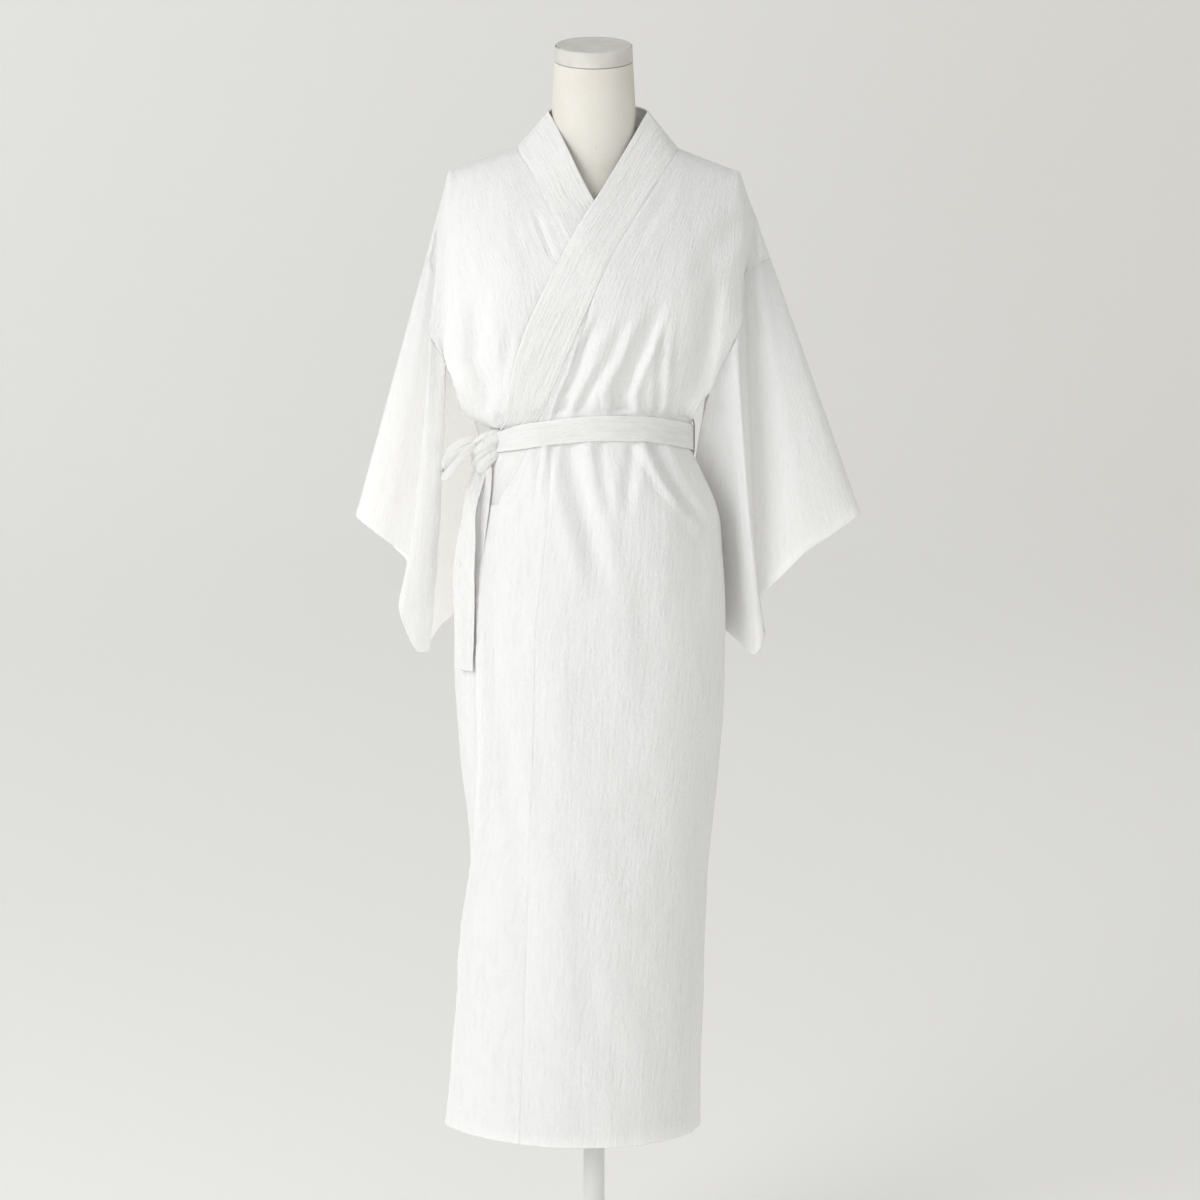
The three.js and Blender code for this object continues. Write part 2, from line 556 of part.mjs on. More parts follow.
function collarBehind(side) {
  const rows = ROWS_ABOVE.filter((k) => k >= NECK_ROW && k < 1).reverse();
  return rows.map((k) => {
    const turn = (k - NECK_ROW) / (1 - NECK_ROW) * Math.PI / 2;
    const place = {
      x: side.neckX * Math.sin(turn),
      z: mix(COLLAR_STAND.seamZ, shoulderZ(side.neckX), turn * 2 / Math.PI),
    };
    const seam = upperPoint(place.x, place.z, false);
    const shift = side.sign > 0 ? 0 : NECK_SHIFT;
    const sideX = side.sign * COLLAR[0].edgeX + shift;
    const edge = [
      mix(COLLAR_STAND.edgeX, sideX, Math.sin(turn)),
      mix(COLLAR[0].edgeY, COLLAR_STAND.edgeY, Math.cos(turn)),
      mix(COLLAR[0].edgeZ, COLLAR_STAND.edgeZ, Math.cos(turn)),
    ];
    return BAND_COLUMNS.map((u) => mixPoint(seam, edge, u));
  });
}

function collarGrid() {
  const left = [...collarFront(SIDES.left), ...collarBehind(SIDES.left)];
  const right = [...collarFront(SIDES.right), ...collarBehind(SIDES.right).slice(0, -1)];
  return [...left, ...right.reverse()];
}

// A sleeve: the folds run down from the armhole seam to the cuff and the bottom edge.
function sleeveColumn(side, front, k) {
  const named = front ? side.folds.slice(0, 7) : side.folds.slice(6).reverse();
  let i = 0;
  while (i < FOLD_STOPS.length - 2 && FOLD_STOPS[i + 1] < k) i += 1;
  const share = (k - FOLD_STOPS[i]) / (FOLD_STOPS[i + 1] - FOLD_STOPS[i]);
  const between = (key) => {
    const point = mixPoint(named[i][key], named[i + 1][key], share);
    if (i === FOLD_STOPS.length - 2) point[1] = named[i][key][1] * Math.sqrt(1 - share * share);
    return point;
  };
  return { top: armholeSeam(side, front, k), middle: between('middle'), end: between('end') };
}

function sleeveGrid(side) {
  const columns = [
    ...ROWS_ABOVE.map((k) => sleeveColumn(side, true, k)),
    ...ROWS_ABOVE.slice(0, -1).reverse().map((k) => sleeveColumn(side, false, k)),
  ];
  return Array.from({ length: SLEEVE_ROWS + 1 }, (_, row) => (
    columns.map((column) => bend(column.top, column.middle, column.end, row / SLEEVE_ROWS))));
}

// ---------------------------------------------------------------- cloth solids

const placeKey = (point) => point.map((value) => Math.round(value * 1000 + 0.3137)).join(' ');

// Joins a panel's grids into one sheet of triangles that share their points.
function sheetOf(grids) {
  const points = [];
  const index = new Map();
  const faces = [];
  const idOf = (point) => {
    const key = placeKey(point);
    if (!index.has(key)) {
      index.set(key, points.length);
      points.push(point);
    }
    return index.get(key);
  };
  for (const { rows, flip } of grids) {
    for (let i = 0; i + 1 < rows.length; i += 1) {
      for (let j = 0; j + 1 < rows[i].length; j += 1) {
        const a = idOf(rows[i][j]);
        const b = idOf(rows[i][j + 1]);
        const c = idOf(rows[i + 1][j + 1]);
        const d = idOf(rows[i + 1][j]);
        const pair = [[a, b, c], [a, c, d]].filter((face) => new Set(face).size === 3);
        faces.push(...pair.map((face) => (flip ? [face[0], face[2], face[1]] : face)));
      }
    }
  }
  return { points, faces };
}

const vector = (point) => new THREE.Vector3(...point);

function addNormals(sheet, sums) {
  for (const face of sheet.faces) {
    const [a, b, c] = face.map((id) => vector(sheet.points[id]));
    const normal = b.clone().sub(a).cross(c.clone().sub(a));
    for (const id of face) {
      const key = placeKey(sheet.points[id]);
      if (!sums.has(key)) sums.set(key, new THREE.Vector3());
      sums.get(key).add(normal);
    }
  }
}

// The open edges of a sheet, each with the third point of its triangle.
function boundaryEdges(faces) {
  const open = new Map();
  for (const face of faces) {
    for (let i = 0; i < 3; i += 1) {
      const a = face[i];
      const b = face[(i + 1) % 3];
      if (open.has(`${b} ${a}`)) open.delete(`${b} ${a}`);
      else open.set(`${a} ${b}`, [a, b, face[(i + 2) % 3]]);
    }
  }
  return [...open.values()];
}

// Draws a sheet back from its seams and gives it a thickness.
function solidOf(sheet, thickness, sums, isSeam) {
  const normals = sheet.points.map((point) => sums.get(placeKey(point)).clone().normalize());
  const edges = boundaryEdges(sheet.faces);
  const back = sheet.points.map(() => new THREE.Vector3());
  for (const [a, b, c] of edges) {
    const [from, to, inside] = [a, b, c].map((id) => vector(sheet.points[id]));
    const along = to.sub(from).normalize();
    const inwards = inside.sub(from);
    inwards.addScaledVector(along, -inwards.dot(along)).normalize();
    for (const id of [a, b].filter((end) => isSeam(sheet.points[end]))) back[id].add(inwards);
  }
  const middle = sheet.points.map((point, id) => {
    const size = back[id].length();
    return size < 0.2 ? vector(point) : vector(point).addScaledVector(back[id], SEAM_GAP / (size * size));
  });
  const count = sheet.points.length;
  const outer = middle.map((point, id) => point.clone().addScaledVector(normals[id], thickness / 2));
  const inner = middle.map((point, id) => point.clone().addScaledVector(normals[id], -thickness / 2));
  const faces = [
    ...sheet.faces,
    ...sheet.faces.map(([a, b, c]) => [a + count, c + count, b + count]),
    ...edges.flatMap(([a, b]) => [[a, a + count, b + count], [a, b + count, b]]),
  ];
  const geometry = new THREE.BufferGeometry();
  const values = [...outer, ...inner].flatMap((point) => point.toArray());
  geometry.setAttribute('position', new THREE.Float32BufferAttribute(values, 3));
  geometry.setIndex(faces.flat());
  geometry.computeVertexNormals();
  return geometry;
}

// ---------------------------------------------------------------- belt

// A point of the belt at an angle round the waist and a height above its middle line.
function beltPoint(angle, height) {
  const x = waistX(angle);
  const outside = ease((angle + 84) / 8);
  const overCollar = ease((-28 - angle) / 8);
  const base = skirtPoint(angle, 1, 0);
  const ahead = Math.cos(rad(angle));
  const normal = new THREE.Vector2(Math.sin(rad(angle)) / 125, -ahead / (ahead > 0 ? 97 : 78));
  normal.normalize();
  const out = (CLOTH + SASH) / 2 + 1.2 + outside * (overLift(x) + overCollar * 1.9);
  return [base[0] + normal.x * out, base[1] + normal.y * out, base[2] + height];
}

function beltGrid() {
  const steps = 44;
  return Array.from({ length: steps + 1 }, (_, i) => {
    const angle = mix(-74, 275, i / steps);
    return [-BELT_WIDTH / 2, 0, BELT_WIDTH / 2].map((height) => beltPoint(angle, height));
  });
}

// A strip given by its two edges, a row for each station.
const stripGrid = (rows) => rows.map((row) => [0, 0.5, 1].map((u) => mixPoint(row.from, row.to, u)));

// The bow's one loop: out from the knot, round its tip and back behind.
const LOOP = [
  { from: [-151, -44, 1159], to: [-153, -46, 1145] },
  { from: [-164, -52, 1169], to: [-167, -55, 1140] },
  { from: [-178, -55, 1163], to: [-184, -57, 1127] },
  { from: [-184, -54, 1157], to: [-191, -55, 1118] },
  { from: [-186, -49, 1156], to: [-194, -50, 1118] },
  { from: [-181, -43, 1160], to: [-187, -44, 1124] },
  { from: [-166, -38, 1164], to: [-169, -39, 1138] },
  { from: [-152, -34, 1157], to: [-153, -34, 1146] },
];
const FRONT_TAIL = [
  { from: [-146, -45, 1130], to: [-137, -46, 1128] },
  { from: [-160, -53, 1085], to: [-146, -66, 1082] },
  { from: [-170, -56, 1030], to: [-150, -73, 1028] },
  { from: [-176, -56, 979], to: [-154, -74, 978] },
  { from: [-177, -54, 930], to: [-155, -75, 930] },
  { from: [-176, -52, 872], to: [-155, -74, 871] },
];
const BACK_TAIL = [
  { from: [-147, -36, 1129.2], to: [-139.5, -37, 1124.8] },
  { from: [-165, -43, 1085], to: [-153, -54, 1083] },
  { from: [-175, -45, 1030], to: [-161, -57, 1028] },
  { from: [-181, -44, 979], to: [-165, -58, 978] },
  { from: [-184, -42, 930], to: [-167, -58, 930] },
  { from: [-184, -40, 897], to: [-167, -58, 896] },
];

// The thread loop that carries the belt at the wearer's left side.
function carrierGrid() {
  return [-24, -16, 0, 16, 24].map((height) => [82, 86].map((angle) => {
    const point = beltPoint(angle, 0);
    const bulge = Math.abs(height) > 20 ? 1.3 : SASH / 2 + 1.1;
    return [point[0] + bulge, point[1], point[2] + height];
  }));
}

function knotGeometry() {
  const geometry = new THREE.SphereGeometry(1, 18, 12);
  geometry.scale(11, 13, 21);
  geometry.rotateY(rad(-18));
  geometry.translate(-139.6, -38.2, 1145);
  return geometry;
}

// ---------------------------------------------------------------- dress form and stand

// Torso, from the bottom edge to the neck: an ellipse at each height, joined with a round neck.
const FORM = [
  { z: 862, half: 148, front: 98, back: 100, neck: 10 },
  { z: 880, half: 157, front: 104, back: 105, neck: 10 },
  { z: 930, half: 161, front: 106, back: 104, neck: 10 },
  { z: 985, half: 154, front: 103, back: 99, neck: 10 },
  { z: 1040, half: 136, front: 95, back: 91, neck: 10 },
  { z: 1095, half: 118, front: 86, back: 77, neck: 10 },
  { z: 1145, half: 108, front: 80, back: 68, neck: 10 },
  { z: 1200, half: 112, front: 82, back: 71, neck: 10 },
  { z: 1260, half: 123, front: 90, back: 79, neck: 10 },
  { z: 1320, half: 134, front: 97, back: 86, neck: 10 },
  { z: 1360, half: 141, front: 97, back: 90, neck: 10 },
  { z: 1400, half: 149, front: 91, back: 92, neck: 20 },
  { z: 1440, half: 160, front: 80, back: 87, neck: 30 },
  { z: 1470, half: 169, front: 63, back: 71, neck: 42 },
  { z: 1490, half: 175, front: 52, back: 62, neck: 49 },
  { z: 1499.8, half: 175, front: 45, back: 56, neck: 51 },
  { z: 1508, half: 155, front: 41, back: 52, neck: 52 },
  { z: 1516, half: 134, front: 38, back: 48, neck: 53 },
  { z: 1522, half: 118, front: 35, back: 44, neck: 53.5 },
  { z: 1526.8, half: 103, front: 30, back: 37, neck: 54 },
  { z: 1532, half: 82, front: 26, back: 30, neck: 54 },
  { z: 1540, half: 55, front: 26, back: 28, neck: 54 },
  { z: 1552, half: 40, front: 26, back: 26, neck: 54 },
  { z: 1575, half: 30, front: 26, back: 26, neck: 53.5 },
  { z: 1605, half: 30, front: 26, back: 26, neck: 52 },
];
const FORM_SIDES = 32;

function formRing(row) {
  return Array.from({ length: FORM_SIDES }, (_, i) => {
    const turn = 2 * Math.PI * i / FORM_SIDES;
    const angle = Math.atan2(Math.sin(turn), 1.5 * Math.cos(turn));
    const c = Math.cos(angle);
    const s = Math.sin(angle);
    const depth = s < 0 ? row.front : row.back;
    const oval = 1 / Math.hypot(c / row.half, s / depth);
    const reach = (oval ** 8 + row.neck ** 8) ** (1 / 8);
    return [reach * c, reach * s, row.z];
  });
}

function circle(radius, z, tilt = 0) {
  return Array.from({ length: FORM_SIDES }, (_, i) => {
    const angle = 2 * Math.PI * i / FORM_SIDES;
    const y = radius * Math.sin(angle);
    return [radius * Math.cos(angle), y, z + y * Math.tan(tilt)];
  });
}

// A closed solid of rings from a first point to a last one.
function ringSolid(first, rings, last) {
  const points = [first, ...rings.flat(), last];
  const faces = [];
  const at = (ring, i) => 1 + ring * FORM_SIDES + (i % FORM_SIDES);
  for (let i = 0; i < FORM_SIDES; i += 1) {
    faces.push([0, at(0, i + 1), at(0, i)]);
    for (let ring = 0; ring + 1 < rings.length; ring += 1) {
      faces.push([at(ring, i), at(ring, i + 1), at(ring + 1, i + 1)]);
      faces.push([at(ring, i), at(ring + 1, i + 1), at(ring + 1, i)]);
    }
    faces.push([at(rings.length - 1, i), at(rings.length - 1, i + 1), points.length - 1]);
  }
  const geometry = new THREE.BufferGeometry();
  geometry.setAttribute('position', new THREE.Float32BufferAttribute(points.flat(), 3));
  geometry.setIndex(faces.flat());
  geometry.computeVertexNormals();
  return geometry;
}

// The torso has a blind socket for the pole in its underside.
function torsoGeometry() {
  const socket = POLE_RADIUS + FIT;
  const bottom = FORM[0];
  const rounded = {
    ...bottom, z: bottom.z - 4, half: bottom.half - 8, front: bottom.front - 8, back: bottom.back - 8,
  };
  const rings = [
    circle(socket, POLE_TOP_Z + FIT), circle(socket, rounded.z), formRing(rounded), ...FORM.map(formRing),
    circle(NECK_TOP_RADIUS, NECK_TOP_Z, CAP_TILT),
  ];
  return ringSolid([0, 0, POLE_TOP_Z + FIT], rings, [0, 0, NECK_TOP_Z]);
}

function capGeometry() {
  const r = NECK_TOP_RADIUS;
  const top = CAP_HEIGHT;
  const profile = [[0, 0.4], [r - 1, 0.4], [r, 1.4], [r - 0.8, top - 2], [r - 2.5, top], [0, top + 0.6]];
  const geometry = new THREE.LatheGeometry(profile.map((p) => new THREE.Vector2(...p)), FORM_SIDES);
  geometry.rotateX(Math.PI / 2);
  geometry.rotateX(CAP_TILT);
  geometry.translate(0, 0, NECK_TOP_Z);
  return geometry;
}

function poleGeometry() {
  const low = BASE_THICKNESS + FIT;
  const geometry = new THREE.CylinderGeometry(POLE_RADIUS, POLE_RADIUS, POLE_TOP_Z - low, FORM_SIDES);
  geometry.rotateX(Math.PI / 2);
  geometry.translate(0, 0, (POLE_TOP_Z + low) / 2);
  return geometry;
}

function baseGeometry() {
  const socket = POLE_RADIUS + FIT;
  const top = BASE_THICKNESS;
  const profile = [
    [0, 0], [BASE_RADIUS - 1.5, 0], [BASE_RADIUS, 1.5], [BASE_RADIUS, top - 2], [BASE_RADIUS - 3, top],
    [26, top], [24, top + 3], [22, top + 26], [20, top + 28], [socket, top + 28], [socket, top], [0, top],
  ];
  const geometry = new THREE.LatheGeometry(profile.map((p) => new THREE.Vector2(...p)), FORM_SIDES);
  geometry.rotateX(Math.PI / 2);
  return geometry;
}

// ---------------------------------------------------------------- assembly

const CLOTH_FINISH = { color: 0xf4f4f2, roughness: 0.95, metalness: 0 };
const FORM_FINISH = { color: 0xe9e4da, roughness: 0.9, metalness: 0 };
const CAP_FINISH = { color: 0xd9d4c9, roughness: 0.6, metalness: 0 };
const METAL_FINISH = { color: 0xf1f1ef, roughness: 0.45, metalness: 0.1 };

const { left, right } = SIDES;
const PANELS = {
  body_left: {
    wall: CLOTH,
    grids: [
      { rows: frontSkirt(left) }, { rows: frontUpper(left) },
      { rows: backUpper(left), flip: true }, { rows: backSkirt(left), flip: true },
    ],
  },
  body_right: {
    wall: CLOTH,
    grids: [
      { rows: frontSkirt(right), flip: true }, { rows: frontUpper(right), flip: true },
      { rows: backUpper(right) }, { rows: backSkirt(right) },
    ],
  },
  okumi_left: {
    wall: CLOTH,
    grids: [{ rows: okumiLower(false) }, { rows: okumiBeside(false) }, { rows: okumiUpper(left) }],
  },
  okumi_right: {
    wall: CLOTH,
    grids: [
      { rows: okumiLower(true), flip: true }, { rows: okumiBeside(true), flip: true },
      { rows: okumiUpper(right), flip: true },
    ],
  },
  collar: { wall: BAND, grids: [{ rows: collarGrid(), flip: true }] },
  sleeve_left: { wall: CLOTH, grids: [{ rows: sleeveGrid(left), flip: true }] },
  sleeve_right: { wall: CLOTH, grids: [{ rows: sleeveGrid(right) }] },
};
const STRIPS = {
  belt_waist: { wall: SASH, rows: beltGrid() },
  belt_loop: { wall: 1.4, rows: stripGrid(LOOP) },
  belt_tail_front: { wall: 1.8, rows: stripGrid(FRONT_TAIL) },
  belt_tail_back: { wall: 1.8, rows: stripGrid(BACK_TAIL) },
  belt_carrier: { wall: 1.2, rows: carrierGrid() },
};

const garment = new THREE.Group();

function addMesh(name, geometry, finish) {
  const mesh = new THREE.Mesh(geometry, new THREE.MeshStandardMaterial(finish));
  mesh.name = name;
  garment.add(mesh);
}

// Points that more than one panel holds are seams.
function addPanels() {
  const sheets = Object.entries(PANELS).map(([name, panel]) => {
    const sheet = sheetOf(panel.grids);
    return { name, wall: panel.wall, sheet };
  });
  const sums = new Map();
  const holders = new Map();
  for (const { sheet } of sheets) {
    addNormals(sheet, sums);
    for (const point of sheet.points) {
      const key = placeKey(point);
      holders.set(key, (holders.get(key) ?? 0) + 1);
    }
  }
  const isSeam = (point) => holders.get(placeKey(point)) > 1;
  for (const { name, wall, sheet } of sheets) addMesh(name, solidOf(sheet, wall, sums, isSeam), CLOTH_FINISH);
}

function addStrips() {
  for (const [name, strip] of Object.entries(STRIPS)) {
    const sheet = sheetOf([{ rows: strip.rows }]);
    const sums = new Map();
    addNormals(sheet, sums);
    addMesh(name, solidOf(sheet, strip.wall, sums, () => false), CLOTH_FINISH);
  }
}

addPanels();
addStrips();
addMesh('belt_knot', knotGeometry(), CLOTH_FINISH);
addMesh('form_torso', torsoGeometry(), FORM_FINISH);
addMesh('form_neck_cap', capGeometry(), CAP_FINISH);
addMesh('form_pole', poleGeometry(), METAL_FINISH);
addMesh('form_base', baseGeometry(), METAL_FINISH);

export default garment;
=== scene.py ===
"""A wrapped kimono of white cotton crepe on a limbless dress form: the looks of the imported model.

The tables and the surface are those of the part's own source, in millimetres, drawn more finely.
Small creases, seams and hems are added here. Angles are in degrees round the body, 0 at the front
and 90 at the wearer's left.
"""
import math
from types import SimpleNamespace

import bmesh
import bpy
import numpy as np
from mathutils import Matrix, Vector


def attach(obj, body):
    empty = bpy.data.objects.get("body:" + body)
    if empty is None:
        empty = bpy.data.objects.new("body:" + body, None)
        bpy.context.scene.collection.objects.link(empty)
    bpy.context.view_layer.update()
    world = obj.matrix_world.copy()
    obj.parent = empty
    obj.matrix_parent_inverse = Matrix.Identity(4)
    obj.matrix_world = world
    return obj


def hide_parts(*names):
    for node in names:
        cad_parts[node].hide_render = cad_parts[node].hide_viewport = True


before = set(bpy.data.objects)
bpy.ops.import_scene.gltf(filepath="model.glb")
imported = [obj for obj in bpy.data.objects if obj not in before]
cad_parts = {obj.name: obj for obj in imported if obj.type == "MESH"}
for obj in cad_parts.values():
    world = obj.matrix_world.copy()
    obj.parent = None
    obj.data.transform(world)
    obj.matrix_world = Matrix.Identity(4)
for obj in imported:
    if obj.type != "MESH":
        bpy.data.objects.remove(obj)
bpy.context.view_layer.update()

# ------------------------------------------------------------------ driving dimensions, mm

STEP = 5.0  # between the points of a sheet
SHEET = 0.9            # wall of one layer of cloth as it shows
BAND_SHEET = 2.4       # wall of the folded collar
SASH_SHEET = 2.0       # wall of the folded belt
CLOTH, SASH = 1.3, 2.2  # walls of one layer and of the belt in the part's source
LAYER_STEP = 6         # the underlap lies this far in
EDGE_LIFT = 5          # and the free edge of the overlap this far out
HEM_Z, WAIST_Z = 247, 1160
WAIST_HALF, WAIST_FRONT, WAIST_BACK = 125, 97, 78
WAIST_RISE, WAIST_DROP = 23, 19  # of the belt's middle line, at the front and at the back
BELT_WIDTH = 32
BELT_GAP = 1.2         # from the cloth
UNDER_BELT_LIFT = 1.9  # of the belt where the collar runs under it
NECK_POINT_Z, NECK_HALF = 1529, 107
NECK_SHIFT = 11        # the right side of the neck lies this far nearer the middle
OFF_CHEST_Z = 1416     # the collar stands away from the chest above this
SHOULDER_SLOPE, NECK_SLOPE = 0.38, 0.25
SHOULDER_FREE = 1500   # the cloth lies close to the form above this
SEAM_DEPTH = 0.3
POLE_RADIUS, POLE_TOP_Z = 14, 960
BASE_RADIUS, BASE_THICKNESS = 165, 8
FIT = 0.4
NECK_TOP_Z, NECK_TOP_RADIUS = 1640, 50
CAP_TILT, CAP_HEIGHT = math.radians(12), 21
FORM_SIDES = 128

FOLD_STOPS = [0, 0.08, 0.16, 0.24, 0.6, 0.87, 1]
SEAM_STOPS = [0, *FOLD_STOPS[3:]]
ROWS_ABOVE = [0, 0.08, 0.16, 0.24, 0.42, 0.6, 0.74, 0.87, 0.92, 0.96, 0.985, 1]
NECK_ROW = 0.87
SKIRT_ROWS = [0, 0.1, 0.2, 0.31, 0.42, 0.53, 0.64, 0.74, 0.83, 0.9, 0.955, 0.98, 1]
PANEL_COLUMNS = [0, 0.12, 0.24, 0.36, 0.47, 0.58, 0.69, 0.8, 0.9, 1]
SIDE_COLUMN = len(PANEL_COLUMNS) - 1
OKUMI_COLUMNS = [0, 0.5, 1]
OKUMI_TOP = 0.54       # of the way up from the belt, where the okumi ends in a point
FRONT_RISE = 0.89      # of the belt's rise, where a front's inner edge starts
UNDERLAP_EDGE = 66     # as far round as the underlap's free edge may reach
COLLAR_END, COLLAR_END_SHARE = 0.9, 0.32
BAND_COLUMNS = [0, 0.33, 0.67, 1]
OKUMI_LOWER_COLUMNS = [COLLAR_END_SHARE * (1 - u) for u in reversed(BAND_COLUMNS)] + [0.66, 1]
SLEEVE_ROWS = 8


def table(columns, rows):
    """Rows with named columns."""
    return [dict(zip(columns.split(), row)) for row in rows]


SKIRT = table("z left right front back", [
    (247, -165, 140, 124, 119), (389, -163, 143, 121, 115), (489, -162, 145, 120, 113),
    (587, -161, 149, 119, 114), (661, -166, 157, 119, 116), (734, -174, 164, 119, 118),
    (807, -179, 169, 120, 119), (880, -181, 171, 120, 118), (959, -174, 171, 119, 114),
    (1009, -163, 166, 117, 108), (1056, -150, 161, 112, 101), (1090, -140, 151, 107, 94),
    (1120, -131, 136, 101, 86), (1142, -125.5, 125.5, 97.5, 79), (1160, -125, 125, 97, 78),
])
LINES = table("z okumiSeam freeEdge flare sideLeft sideRight", [
    (247, -33, -85, 27, 57, -100), (364, -32.5, -85, 18, 59, -100), (513, -31.5, -85, 7, 62, -100),
    (592, -31, -79, 1, 63, -100), (640, -29, -67, 0, 64, -100), (716, -26, -58, 0, 65, -99),
    (900, -23, -54.5, 0, 70, -98), (1000, -23, -62, 0, 75, -96), (1056, -24, -68, 0, 79, -94),
    (1089, -25, -73, 0, 83, -92), (1160, -26.5, -73, 0, 90, -90),
])
CHEST = table("t depth halfLeft halfRight", [
    (0, 97, 125, 125), (0.05, 97, 125.5, 146), (0.09, 103, 140, 167), (0.14, 107, 156, 180),
    (0.2, 110, 170, 195), (0.35, 115, 190, 206), (0.5, 117, 203, 210), (0.65, 104, 208, 212),
    (0.78, 86, 211, 213), (0.88, 64, 214, 215), (0.95, 42, 216, 216), (0.985, 23, 218, 218),
    (1, 0, 220, 220),
])
BACK = table("t depth half", [
    (0, 78, 125), (0.05, 78.5, 125.5), (0.1, 84, 150), (0.2, 90, 185), (0.35, 97, 203), (0.5, 103, 208),
    (0.65, 105, 211), (0.78, 98, 213), (0.88, 82, 215), (0.925, 69, 216), (0.96, 50, 217),
    (0.985, 28, 218), (1, 0, 220),
])
COLLAR = table("z seamX edgeX edgeY underY edgeZ", [
    (1529, 107, 69, -4, -8, 1575), (1499, 86, 44, -40, -53, 1533), (1457, 58, 15, -76, -72, 1486),
    (1416, 31, -12, -95, -88, 1446), (1331, -9, -56, None, None, 1366), (1255, -42, -91, None, None, 1285),
    (1197, -67, -110, None, None, 1208), (1176, -77, -117, None, None, 1184),
])
STAND = dict(edgeX=4, edgeY=67, edgeZ=1584, seamZ=1531)

SKIRT_FOLDS = table("fromAngle fromZ toAngle toZ width height", [
    (-47, 1080, -31, 300, 9, -5), (-17, 1000, -15, 260, 9, 3), (-12, 1140, 3, 960, 8, -3),
    (27, 1140, 43, 1000, 8, 4), (36, 1140, 56, 960, 7, -5), (128, 1130, 118, 500, 10, -5),
    (158, 1130, 150, 420, 10, -6), (205, 1130, 212, 600, 10, -6), (235, 1120, 243, 400, 9, -4),
])
# The blousing beside each armhole, by front or back and by side: its place across the panel, its lowest
# and highest place, its half width and its depth.
CHEST_FOLDS = {
    (True, 1): (0.87, 0.06, 0.62, 0.11, 20), (True, -1): (0.82, 0.04, 0.56, 0.09, 15),
    (False, 1): (0.74, 0.04, 0.6, 0.13, 13), (False, -1): (0.74, 0.04, 0.56, 0.13, 14),
}
# Strips of the belt: places of their two edges, three numbers each.
LOOP = [
    (-148.2, -43, 1157, -150.8, -46, 1143.2), (-162.9, -47, 1150.4, -163.2, -58, 1140.4),
    (-175.1, -50, 1136.3, -174.5, -64, 1126.7), (-185.9, -52, 1123.4, -184.4, -64, 1113.6),
    (-192.5, -49, 1117, -190.8, -56, 1109.3), (-195.3, -43, 1125.5, -194.6, -47, 1110.5),
    (-188.5, -38, 1146.4, -188.1, -43, 1121.6), (-176.3, -35, 1156.7, -176.3, -40, 1132.2),
    (-159.4, -33, 1162.9, -160.7, -37, 1143.5), (-142.2, -32, 1159.7, -144.7, -35, 1145.9),
]
FRONT_TAIL = [
    (-150.9, -45, 1119.3, -138.7, -47, 1116.9), (-156.6, -50, 1101.2, -144.3, -56, 1097.4),
    (-164.7, -53, 1073.8, -150.2, -65, 1075.3), (-175.1, -56, 1025.7, -151.8, -72, 1027.9),
    (-179.7, -57, 987.8, -152.9, -75, 990.9), (-179.1, -56, 949.2, -152.8, -75, 952.1),
    (-178.4, -54, 904.6, -154, -75, 908), (-178.1, -52, 864.3, -155.6, -74, 865.2),
]
BACK_TAIL = [
    (-154.3, -40, 1121.9, -131, -47, 1124), (-161, -42, 1101.5, -131.5, -53, 1101.5),
    (-166, -42, 1079.5, -133.7, -58, 1080.2), (-168, -43, 1051.2, -136.9, -62, 1053.6),
    (-170, -45, 1021.6, -140.5, -64, 1024.2), (-172.1, -46, 985.4, -143, -65, 988.1),
    (-172.3, -46, 943.8, -144.4, -66, 946.8), (-172, -44, 900.4, -145, -65, 903.8),
    (-171.6, -42, 861.5, -145.1, -64.5, 861.7),
]
# Strands of the knot: places, widths and thicknesses along each.
KNOT = [
    [(-116.4, -36, 1164.7, 11, 8), (-126.4, -45, 1160.5, 14, 10), (-137.2, -49, 1153.8, 14, 11),
     (-147.5, -48, 1146.3, 12.5, 10), (-156.7, -42, 1138.3, 9, 7)],
    [(-111.3, -33, 1163.7, 13, 6), (-125.2, -40, 1167.5, 11.5, 9), (-136.6, -44, 1165.5, 10.5, 9.5),
     (-146.3, -43.5, 1159.9, 9.5, 9), (-156, -40, 1152.2, 9, 7)],
    [(-116.4, -35, 1152.3, 13, 6), (-126.5, -42, 1144.7, 17, 10), (-136.7, -45, 1135.6, 17.5, 11.5),
     (-143.8, -45.5, 1125.1, 14, 10), (-146.5, -44, 1114.6, 9.5, 7)],
    [(-116.5, -33, 1157.3, 22, 8), (-133, -38, 1152.6, 27, 17), (-145.2, -39, 1141.1, 23, 17),
     (-147.9, -39, 1125.7, 14, 12)],
    [(-121.4, -41, 1151.7, 6, 6), (-134.1, -47.5, 1147.9, 7, 7.5), (-145, -48, 1140.2, 8, 8),
     (-153.4, -45, 1131.5, 8, 7), (-152.9, -42, 1123.4, 6, 5)],
]
